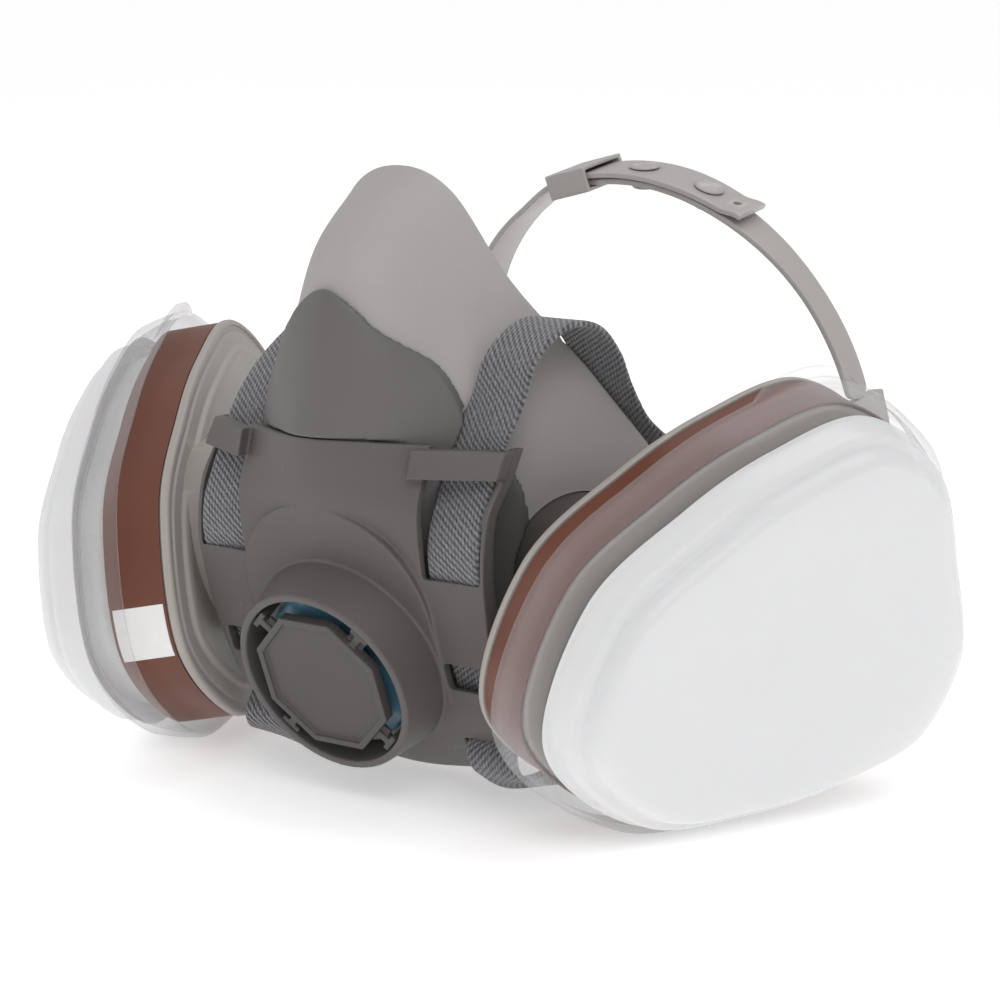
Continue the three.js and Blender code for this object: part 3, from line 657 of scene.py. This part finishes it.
def casing_plate(front, back, wide=0, over=0):
    return slab(casing_grid(front, wide, over), casing_grid(back, wide, over))


# Webbing routes and the room they need through the mouldings. The left upper strap stands up in an
# arch behind its guide bar, and the right one lies back.
STRAP_START = [(33.2, 9.2, 22.5), (33.2, 6.2, 29), (33.2, 6.6, 38), (33.2, 12.4, 50)]
STRAP_TAIL = [(58, 118, 38), (61, 131, 41.5), (60.8, 136, 43), (58.4, 139.4, 43.2), (55.8, 142, 43.4)]
UPPER_ROUTES = {
    "left": arr(*STRAP_START, (33.6, 16, 58), (36, 18.6, 66), (38, 21.5, 76), (40.5, 30, 82.4),
                (42.2, 39.5, 81.5), (42.4, 47.5, 75), (42, 54, 65.5), (43, 61.5, 56), (46.5, 74, 46),
                (52, 94, 38.5), *STRAP_TAIL),
    "right": arr(*STRAP_START, (33.4, 17, 58), (33.2, 23, 65), (33, 31, 71), (33.5, 40.5, 75),
                 (35.5, 50.5, 73), (38, 59, 66), (40.5, 66.5, 57.5), (44, 75, 50), (48, 86, 43.5),
                 (53, 101, 39), *STRAP_TAIL) * (-1, 1, 1)}
LOWER_ROUTE = arr(
    (32.5, 14.8, 7), (32.5, 17.8, 0), (32.5, 21, -6.5), (32.8, 22.4, -11.5), (33.4, 20.2, -16.8),
    (34, 23, -21.4), (35.5, 31, -24), (38.5, 44, -22.8), (43, 62, -21.8), (45, 82, -21.6),
    (42, 102, -21.6), (29, 117, -21.6), (12, 121.5, -21.6))


def twist(count, start, stop, end):
    k = np.clip((np.arange(count) - start) / (stop - start), 0, 1)[:, None]
    return (1 - k) * arr(1, 0, 0) + k * arr(*end)


UPPER_POINTS = len(UPPER_ROUTES["left"])
UPPER_ACROSS = {"left": twist(UPPER_POINTS, 11, 15, (0, 0.3, 1)),
                "right": twist(UPPER_POINTS, 11, 15, (0, -0.3, 1))}
LOWER_ACROSS = twist(len(LOWER_ROUTE), 5, 8, (0.2, 0, 1))


def strap_frames(route, across, steps):
    t = np.linspace(0, 1, steps + 1)
    p = spline(route, t)
    along = unit(spline(route, np.minimum(1, t + 0.001)) - spline(route, np.maximum(0, t - 0.001)))
    face = unit(np.cross(along, spline(across, t)))
    return p, face, unit(np.cross(face, along))


def strap_room(route, across, margin, steps=80):
    p, face, side = strap_frames(route, across, steps)
    w, h = WEBBING / 2 + margin, WEBBING_THICK / 2 + margin
    corners = ((-1, -1), (1, -1), (1, 1), (-1, 1))
    return rings(np.stack([p + side * a * w + face * b * h for a, b in corners], 1))


ROOM_UPPER = [strap_room(UPPER_ROUTES[k], UPPER_ACROSS[k], GAP + 0.1) for k in ("left", "right")]
ROOM_LOWER = [strap_room(LOWER_ROUTE, LOWER_ACROSS, 0.6)]
ROOM_LOWER.append(ROOM_LOWER[0].at(MIRROR))
ROOM = ROOM_UPPER + ROOM_LOWER


def disc(r, z0, z1, at=np.eye(4), around=96):
    a = np.arange(around) * 2 * np.pi / around
    loops = [np.stack([r * np.cos(a), r * np.sin(a), np.full(around, z)], 1) for z in (z0, z1)]
    return rings(loops).at(at)


def both(shape):
    return [shape, shape.at(MIRROR)]


def build_facepiece():
    around, outer, inner = 168, 44, 30
    loops = [cup_loop(1 - i / (outer - 1), 0, around) for i in range(outer)]
    rim = loops[-1]
    inside = cup_loop(0, -SKIN, around)
    along = unit(cup_loop(0, 0, around) - cup_loop(0.03, 0, around))
    middle, half = (rim + inside) / 2, (rim - inside) / 2
    loops += [middle + half * math.cos(a) + along * 0.9 * math.sin(a)
              for a in np.linspace(0.3, math.pi - 0.3, 7)]
    # The sealing edge curls inwards from the rim before the inner wall runs forwards.
    loops += [cup_loop(i / (inner - 1), -SKIN, around) for i in range(inner)]
    piece = to_object("facepiece_skin", rings(loops))
    cut(piece, casing_plate(-14, WALL + 0.7, 6, 0.4), disc(SEAT_R + GAP, -60, 10, VALVE))
    cut(piece, *both(disc(PORT_R + GAP, -34, 30, PORT)), *ROOM)
    return finish_piece(piece, "mask", ELASTOMER, ["facepiece"], 35)


def build_shell():
    outline = arr((0, 90.4), (7, 86.8), (12, 82), (17, 78), (21, 74.8), (24, 71.3), (26.8, 66.5),
                  (29.5, 60), (33, 54.5), (36.6, 43), (35.6, 28), (30, 14), (16, 4), (0, 1))
    outline = np.vstack([outline, outline[-2:0:-1] * (-1, 1)])
    points = spline(outline, np.arange(140) / 140, closed=True)
    front = frame_matrix((1, 0, 0), (0, 0, 1), (0, -1, 0), (0, 0, 0))
    piece = to_object("body_shell_skin", cup(1.9, 0, 5))
    cut(piece, cup(GAP, 8))
    keep(piece, prism(points[::-1], -60, 60, front))
    cut(piece, disc(SEAT_R + GAP, -60, 20, VALVE), *both(disc(PORT_R + GAP, -34, 30, PORT)), *ROOM,
        casing_plate(-14, WALL + 0.7, 6, 0.3))
    moulded(piece, 0.34, 8, 0.5)
    return finish_piece(piece, "mask", SHELL, ["body_shell"])


def build_casing():
    piece = to_object("front_casing_skin", casing_plate(0, EDGE_DEPTH))
    cut(piece, casing_plate(WALL, EDGE_DEPTH + 3, -WALL, 4))
    a = np.linspace(0, math.pi, 40)
    arch = [(-BOSS_R, -8), (BOSS_R, -8)]
    arch += [(BOSS_R * math.cos(t), BOSS_RISE + BOSS_R * math.sin(t)) for t in a]
    join(piece, prism(arch, -HORN_DEPTH - 1.5, -HORN_DEPTH, VALVE))
    cut(piece, *both(span(*UPPER_SLOT_X, -30, 40, *UPPER_SLOT_Z)),
        *both(span(*LOWER_SLOT_X, -30, 40, *LOWER_SLOT_Z)), disc(HORN_R - HORN_WALL, -60, 20, VALVE))
    horn = turned([(HORN_R - HORN_WALL, 0), (HORN_R, 0), (HORN_ROOT_R, -11),
                   (HORN_ROOT_R, -HORN_DEPTH - WALL), (SEAT_R + GAP, -HORN_DEPTH - WALL),
                   (SEAT_R + GAP, -HORN_LEDGE), (HORN_R - HORN_WALL, -HORN_LEDGE)],
                  120, 0.4, VALVE, closed=True)
    join(piece, horn)
    for side in both(span(*GUIDE_BAR_X, -40, 60, *GUIDE_BAR_Z)):
        bar = to_object("bar", casing_plate(-BAR_PROUD, 0.1, 1))
        keep(bar, side)
        mod = piece.modifiers.new("bar", "BOOLEAN")
        mod.operation, mod.solver, mod.object = "UNION", "MANIFOLD", bar
        settle(piece)
        bpy.data.objects.remove(bar)
    cut(piece, *ROOM)
    moulded(piece, 0.34, 3, 0.5)
    return finish_piece(piece, "mask", CASING, ["front_casing"])


build_facepiece()
build_shell()
build_casing()


# ---- Exhalation valve -------------------------------------------------------------------------
def bar_shape(x0, x1, width, z0, z1, angle, at):
    return span(x0, x1, -width / 2, width / 2, z0, z1).at(at @ turn_z(angle))


def build_valve():
    seat = to_object("valve_seat_ring", turned(
        [(SEAT_R - 2.4, -24), (SEAT_R, -24), (SEAT_R, SEAT_TOP - 1.4), (SEAT_R + 2.2, SEAT_TOP - 1.4),
         (SEAT_R + 2.2, SEAT_TOP), (SEAT_R - 2.4, SEAT_TOP)], 96, 0.3, VALVE, closed=True))
    join(seat, disc(3.4, SEAT_TOP - 1.8, SEAT_TOP - 0.2, VALVE, 40),
         *[bar_shape(2, SEAT_R - 1, 2, SEAT_TOP - 1.8, SEAT_TOP - 0.2, k * math.pi / 2, VALVE)
           for k in range(4)])
    cut(seat, disc(STEM_R + GAP, -30, 0, VALVE, 32))
    moulded(seat, 0.3, 2, 0.4)
    finish_piece(seat, "mask", TAN, ["exhalation_valve_seat"])

    flap = to_object("exhalation_disc", turned(
        [(0.01, -18), (STEM_R, -18), (STEM_R, FLAP_Z), (FLAP_R - 0.6, FLAP_Z), (FLAP_R, FLAP_Z + 0.45),
         (FLAP_R - 0.8, FLAP_Z + 0.95), (FLAP_R * 0.62, FLAP_Z + 1.5), (FLAP_R * 0.5, FLAP_Z + 1.95),
         (4, FLAP_Z + 1.9), (0.01, FLAP_Z + 2)], 96, 0.5, VALVE))
    finish_piece(flap, "exhalation_disc", BLUE, ["exhalation_flap"], 60)

    def octagon(r):
        return [(r * math.cos(math.pi * (2 * k + 1) / 8), r * math.sin(math.pi * (2 * k + 1) / 8))
                for k in range(8)]
    guard = to_object("valve_guard_plate", prism(octagon(GUARD_R), -2.2, 0.6, VALVE))
    cut(guard, prism(octagon(GUARD_R - 1.7), -0.3, 2, VALVE))
    for k in range(4):
        a = math.pi / 4 + k * math.pi / 2
        join(guard, bar_shape(GUARD_REACH - 6.5, GUARD_REACH, 1.8, -2.8, -0.6, a, VALVE),
             bar_shape(GUARD_REACH - 1.4, GUARD_REACH, 5, -6.6, -0.6, a, VALVE),
             bar_shape(GUARD_R - 2.2, GUARD_REACH - 2.2, 4.4, -2.6, -1.6, a, VALVE))
    moulded(guard, 0.24, 2, 0.45)
    finish_piece(guard, "guard", GUARD, ["valve_guard"])


# ---- Cartridges -------------------------------------------------------------------------------
OUTLINE = arr((45.7, 0), (43.5, 25), (25.6, 44.2), (0, 46), (-24, 41.7), (-52.2, 30.2), (-69.5, 0))
OUTLINE = np.vstack([OUTLINE, OUTLINE[-2:0:-1] * (1, -1)])
SPIN = turn_z(OUTLINE_TURN)[:2, :2]


def outline(grow, height, turn):
    grow = np.broadcast_to(grow, turn.shape)[:, None]
    p = spline(OUTLINE, turn, closed=True)
    along = unit(spline(OUTLINE, turn + 0.002, closed=True) - spline(OUTLINE, turn - 0.002, closed=True))
    flat = (p + np.stack([along[:, 1], -along[:, 0]], 1) * grow) @ SPIN.T
    return np.column_stack([flat, np.broadcast_to(height, turn.shape)])


AROUND = np.arange(180) / 180


def egg(profile, radius=0.5, closed=False, steps=3, dome=0.0):
    """A solid round the cartridge's outline from [grow, height] corners; `dome` bulges its last face."""
    p = np.asarray(profile, float)
    if closed:
        line = fillet(np.vstack([p[-1], p, p[0]]), radius, steps)[1:-1]
    else:
        line = fillet(p, radius, steps)
    loops = [outline(g, h, AROUND) for g, h in line]
    if dome:
        edge = loops[-1]
        middle = edge.mean(0)
        for k in (0.85, 0.65, 0.4, 0.2):
            loops.append(middle + (edge - middle) * k + (0, 0, dome * (1 - k * k)))
    return rings(loops, closed=closed)


def side_at(side, m):
    return m if side == "left" else MIRROR @ m


def build_port(side):
    at = side_at(side, PORT)
    tube = to_object(f"bayonet_tube_{side}", turned(
        [(PORT_R - 3, -26), (PORT_R, -26), (PORT_R, -9), (20.6, -9), (20.6, -6.5), (PORT_R, -6.5),
         (PORT_R, 0), (PORT_R - 3, 0)], 96, 0.4, at, closed=True))
    join(tube, disc(3, -25.5, -23.5, at, 40),
         *[bar_shape(2, PORT_R - 1.5, 1.8, -25.5, -23.5, k * 2 * math.pi / 3, at) for k in range(3)],
         *[span(PORT_R - 0.9, PORT_R + 2.1, -3, 3, -2.5, -0.1).at(at @ turn_z(k * 2 * math.pi / 3))
           for k in range(3)])
    cut(tube, disc(STEM_R + GAP, -30, -20, at, 24))
    moulded(tube, 0.4, 2, 0.4)
    finish_piece(tube, "mask", CASING, [f"bayonet_port_{side}"])
    gasket = to_object(f"port_seal_{side}", turned(
        [(PORT_R + GAP, -6.1), (20.2, -6.1), (20.2, -4.5), (PORT_R + GAP, -4.5)],
        96, 0.7, at, closed=True))
    finish_piece(gasket, "mask", BLACK, [f"port_gasket_{side}"], 50)
    flap = to_object(f"inhalation_disc_flap_{side}", turned(
        [(0.01, -28), (6, -27.75), (12.3, -27.15), (12.6, -26.75), (12.3, -26.4), (STEM_R, -26.4),
         (STEM_R, -21), (0.01, -21)], 72, 0.25, at))
    finish_piece(flap, f"inhalation_disc_{side}", SILICONE,
                 [f"inhalation_flap_{side}"], 50)


GRILLE = [(-46, -14), (-27, 5), (-27, -22), (-8, -8), (-8, 18), (12, -24), (12, 6)]


def build_cartridge(side):
    at, port = side_at(side, CARTRIDGE), side_at(side, PORT)
    body, cap_body = f"cartridge_{side}", f"retainer_{side}"

    base = to_object(f"cartridge_back_{side}", egg(
        [(-12, -26.9), (-9.9, -27), (-8.6, -26.6), (-8, -25.4), (-4.4, -25.2), (-4.2, -24.5),
         (-2.9, -24.5), (-2.7, -25.1), (-1.7, -25), (-1.2, -24.4), (-1.2, -22.8), (-4, -22.8)],
        0.4).at(at))
    join(base, turned([(19.4, -4.1), (24, -4.1), (24, 3), (19.4, 3)], 96, 0.6, port, closed=True))
    cut(base, disc(19.4, -8, 1.2, port), disc(13, 0, 8, port))
    finish_piece(base, body, TAN, [f"cartridge_base_{side}"], 32)

    can = to_object(f"canister_shell_{side}", egg(
        [(-4, -22.4), (-2.4, -22.4), (-2.4, -8.2), (-3.2, -7.4), (-5, -7.4)], 0.4, steps=2).at(at))
    cut(can, egg([(-6, -23), (-4, -23), (-4, -9), (-6, -9)], 0.3, steps=2).at(at))
    cut(can, *[disc(7, -12, -5, at @ frame_matrix((1, 0, 0), (0, 1, 0), (0, 0, 1), (x, y, 0)), 48)
               for x, y in GRILLE])
    finish_piece(can, body, TAN, [f"cartridge_canister_{side}"], 32)

    label = to_object(f"label_wrap_{side}", egg(
        [(-2.05, -22.3), (-1.6, -22.3), (-1.6, -7.8), (-2.05, -7.8)], 0.12, closed=True).at(at))
    finish_piece(label, body, BROWN, [f"label_band_{side}"], 40)
    if side == "right":
        turn = np.linspace(0.470, 0.505, 12)
        face, under = [np.stack([outline(grow, h, turn) for h in np.linspace(-21.6, -8.6, 10)])
                       for grow in (-1.5, -1.62)]
        patch = to_object("label_patch", slab(moved(face.reshape(-1, 3), at).reshape(face.shape),
                                              moved(under.reshape(-1, 3), at).reshape(face.shape)))
        finish_piece(patch, body, PATCH, (), 40)

    # Retainer: a clear skirt round the canister and a milky raised cap over the pad.
    skirt = to_object(f"retainer_skirt_{side}", egg(
        [(1.4, -12.7), (2.2, -13.4), (2.9, -12.7), (2.4, -8), (0.9, -1.8), (0.2, -0.6), (-0.8, 0),
         (-3.4, 0.3), (-4.9, 0.3), (-4.9, -0.6), (-2.4, -0.9), (-0.9, -2.2), (1.1, -8)],
        0.45, closed=True).at(at))
    tab = np.linspace(-1, 1, 25)
    centre = 0.19
    lip = [outline(g, h, centre + tab * 0.052) for g, h in
           ((1.2, -10.5), (2.2, -12.2), (3.3, -13.4), (4.4, -13.9), (5.2, -13.9))]
    lip = np.stack(lip)
    ease = (1 - np.abs(tab) ** 3)[None, :, None]
    lip = lip[:1] + (lip - lip[:1]) * ease
    thick = lip + (0, 0, 1.1)
    join(skirt, slab(moved(lip.reshape(-1, 3), at).reshape(lip.shape),
                     moved(thick.reshape(-1, 3), at).reshape(lip.shape)))
    finish_piece(skirt, cap_body, CLEAR, (), 40)

    cap = to_object(f"retainer_cap_{side}", egg(
        [(-2.0, 0.35), (-2.9, 0.8), (-3.3, 2.2), (-3.8, 6.2), (-4.6, 7.7), (-6.6, 8.2), (-7.2, 9.2),
         (-7.6, 11.4), (-9, 13), (-12.6, 13.45)], 1.2, dome=0.2, steps=5).at(at))
    inner = egg([(-3.6, -0.6), (-4.3, 1), (-4.9, 6), (-7.9, 7.2), (-8.4, 10.4), (-10.8, 12.2)], 0.8,
                dome=0.2, steps=3).at(at)
    lower = egg([(-1.5, -1), (-1.5, 0.36)], 0.1).at(at)
    cut(cap, inner, lower)
    finish_piece(cap, cap_body, FROSTED, [f"prefilter_retainer_{side}"], 40)

    pad = to_object(f"fleece_pad_{side}", egg(
        [(-9, -6.9), (-7.6, -6.2), (-6.9, -4.4), (-6.9, -2.4), (-7.8, 4), (-8.8, 8.8), (-12.4, 11.1)],
        1.2, dome=0.5, steps=4).at(at))
    finish_piece(pad, cap_body, FLEECE, [f"prefilter_pad_{side}"], 50)


# ---- Webbing ----------------------------------------------------------------------------------
def build_strap(name, route, across, steps, m):
    """Webbing with rounded, slightly frayed edges, and a UV map that holds millimetres."""
    p, face, side = strap_frames(route, across, steps)
    length = np.concatenate([[0], np.cumsum(np.linalg.norm(np.diff(p, axis=0), axis=1))])
    half, thick = WEBBING / 2, WEBBING_THICK / 2
    ring = [(-1, 0), (-0.985, 0.55), (-0.93, 0.92)]
    ring += [(x, 1) for x in np.linspace(-0.84, 0.84, 9)]
    ring += [(0.93, 0.92), (0.985, 0.55)]
    ring = ring + [(-x, -y) for x, y in ring]
    n = len(ring)
    rng = np.random.default_rng(7)
    fray = rng.normal(0, 0.045, (len(p), n))
    loops = []
    for k in range(len(p)):
        loops.append([p[k] + side[k] * (x * half + (fray[k, i] if abs(x) > 0.95 else 0))
                      + face[k] * y * thick for i, (x, y) in enumerate(ring)])
    shape = rings(np.array(loops)).at(m)
    piece = to_object(name, shape)
    layer = piece.data.uv_layers.new(name="weave")
    u = np.array([x * half for x, _ in ring] * len(p) + [0, 0])
    v = np.repeat(length, n).tolist() + [0, length[-1]]
    corner = np.zeros(len(piece.data.loops), int)
    piece.data.loops.foreach_get("vertex_index", corner)
    uv = np.stack([u[corner], np.array(v)[corner]], 1)
    layer.data.foreach_set("uv", uv.ravel())
    return piece


def build_webbing():
    for side, m, sign in (("left", np.eye(4), 1), ("right", MIRROR, -1)):
        upper = build_strap(f"upper_webbing_{side}", UPPER_ROUTES[side], UPPER_ACROSS[side], 440,
                            np.eye(4))
        finish_piece(upper, None, WEB,
                     [f"upper_strap_{side}", f"upper_strap_end_{side}"], 60)
        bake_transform(upper)
        lower = build_strap(f"lower_webbing_{side}", LOWER_ROUTE, LOWER_ACROSS, 320, m)
        finish_piece(lower, "mask", WEB, [f"lower_strap_{side}"], 60)


build_valve()
for which in ("left", "right"):
    build_port(which)
    build_cartridge(which)
build_webbing()


# ---- Neck clasp -------------------------------------------------------------------------------
def build_clasp():
    y, z, w, d, h = 121.5, -21.6, 15, 4.6, 14.8
    socket = span(-30, 30, y - 1.25, y + 1.25, z - 7, z + 7)
    for name, sign in (("neck_clasp_loop", 1), ("neck_clasp_hook", -1)):
        x = sign * (w / 2 + GAP)
        half = to_object(name + "_moulding", span(x - w / 2, x + w / 2, y - d / 2, y + d / 2,
                                                  z - h / 2, z + h / 2))
        slot = to_object("slot", socket)
        cut(slot, span(-8, 8, y - 10, y + 10, z - 10, z + 10))
        mod = half.modifiers.new("cut", "BOOLEAN")
        mod.operation, mod.solver, mod.object = "DIFFERENCE", "MANIFOLD", slot
        settle(half)
        bpy.data.objects.remove(slot)
        if sign > 0:
            cut(half, span(-0.6, 7.4, y - 0.9, y + 0.9, z - 3.5, z + 3.5))
        else:
            join(half, span(-2.8, 5.6, y - 0.5, y + 0.5, z - 3, z + 3))
        for k in range(3):
            at = sign * (10.6 + 1.5 * k)
            join(half, span(at - 0.35, at + 0.35, y + d / 2 - 0.2, y + d / 2 + 0.35, z - 5.6, z + 5.6))
        cut(half, *ROOM_LOWER)
        moulded(half, 0.26, 3, 0.5)
        finish_piece(half, "mask", CASING, [name])


# ---- Head cradle ------------------------------------------------------------------------------
LEAN = unit(arr(*BAND_LEAN))
X_AXIS = arr(1, 0, 0)
WIDE = unit(np.cross(X_AXIS, LEAN))


def arch_at(degrees):
    a = math.radians(degrees)
    point = arr(*BAND_TOP) + X_AXIS * BAND_HALF_SPAN * math.sin(a) + LEAN * BAND_RISE * (1 - math.cos(a))
    along = unit(X_AXIS * BAND_HALF_SPAN * math.cos(a) + LEAN * BAND_RISE * math.sin(a))
    return point, along, unit(np.cross(along, WIDE))


def arch_frame(degrees, height):
    point, along, out = arch_at(degrees)
    return frame_matrix(along, np.cross(out, along), out, point + out * height)


def smoothstep(x, a, b):
    t = min(1, max(0, (x - a) / (b - a)))
    return t * t * (3 - 2 * t)


def band_shape(start, stop, width, lift, steps=150, tip=0.0):
    """A moulded band on the arch with rounded edges; `tip` rounds its free end over that angle."""
    loops = []
    for i in range(steps + 1):
        degrees = start + (stop - start) * i / steps
        point, _, out = arch_at(degrees)
        half = width(degrees) / 2
        if tip:
            left = abs(stop - degrees) / tip
            if left < 1:
                half *= math.sqrt(max(0.02, 1 - (1 - left) ** 2))
        low, high = lift(degrees), lift(degrees) + BAND_THICK
        mid, t = (low + high) / 2, BAND_THICK / 2
        ring = [(-1, -0.55), (-0.975, -0.85), (-0.92, -1), (0.92, -1), (0.975, -0.85), (1, -0.55),
                (1, 0.55), (0.975, 0.85), (0.92, 1), (0.8, 1), (0.74, 1), (0, 1),
                (-0.74, 1), (-0.8, 1), (-0.92, 1), (-0.975, 0.85), (-1, 0.55)]
        loops.append([point + WIDE * a * half + out * (mid + b * t) for a, b in ring])
    return rings(loops)


def stud_shape(degrees):
    return turned([(0.01, -1.6), (3.0, -1.6), (3.4, -1.2), (3.4, -GAP), (1.8, -GAP), (1.8, STUD_TOP),
                   (4, STUD_TOP), (3.9, STUD_TOP + 0.35), (3.3, STUD_TOP + 0.65),
                   (0.01, STUD_TOP + 0.75)],
                  48, 0.25, arch_frame(degrees, 0))


def build_cradle():
    holes = [disc(2.2, -3, 8, arch_frame(a, 0), 32) for a in STUD_ANGLES]
    pin = disc(1.1, -3, 8, arch_frame(30, 0), 24)
    inner = to_object("cradle_strip_left", band_shape(
        -15, BAND_END, lambda a: 9 + 3.6 * smoothstep(a, 60, 20), lambda a: 0, tip=2.5))
    cut(inner, *holes)
    finish_piece(inner, "head_cradle", BAND, ["cradle_band_left"], 35)
    outer = to_object("cradle_strip_right", band_shape(
        -BAND_END, 34, lambda a: 15 - 2 * smoothstep(a, 10, 34),
        lambda a: BAND_LAP * smoothstep(a, -34, -17) + 1.6 * smoothstep(a, 28, 34)))
    cut(outer, *holes, pin)
    finish_piece(outer, "head_cradle", BAND, ["cradle_band_right"], 35)
    for k, a in enumerate(STUD_ANGLES):
        stud = to_object(f"cradle_snap_{k + 1}", stud_shape(a))
        finish_piece(stud, "head_cradle", BAND, [f"cradle_stud_{k + 1}"], 50)
    at = arch_frame(-14, 1.8)
    keeper = to_object("cradle_keeper_loop", box_shape(12.6, 18, 6.6, at))
    cut(keeper, box_shape(20, 15.8, 4.6, at))
    moulded(keeper, 0.28, 3, 0.5)
    finish_piece(keeper, "head_cradle", BAND, ["cradle_keeper"])
    for side, sign in (("left", 1), ("right", -1)):
        at = arch_frame(sign * (BAND_END + 1.5), BAND_THICK / 2)
        buckle = to_object(f"cradle_frame_{side}", box_shape(19, 19, 4.2, at, (8 * sign, 0, 0)))
        cut(buckle, box_shape(15.4, 5, 9, at, (8 * sign, -4, 0)), *ROOM_UPPER)
        moulded(buckle, 0.3, 3, 0.5)
        finish_piece(buckle, "head_cradle", BAND, [f"cradle_buckle_{side}"])


build_clasp()
build_cradle()
for bed in ("sorbent_bed_left", "sorbent_bed_right"):
    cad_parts[bed].data.materials.clear()
    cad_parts[bed].data.materials.append(CHARCOAL)
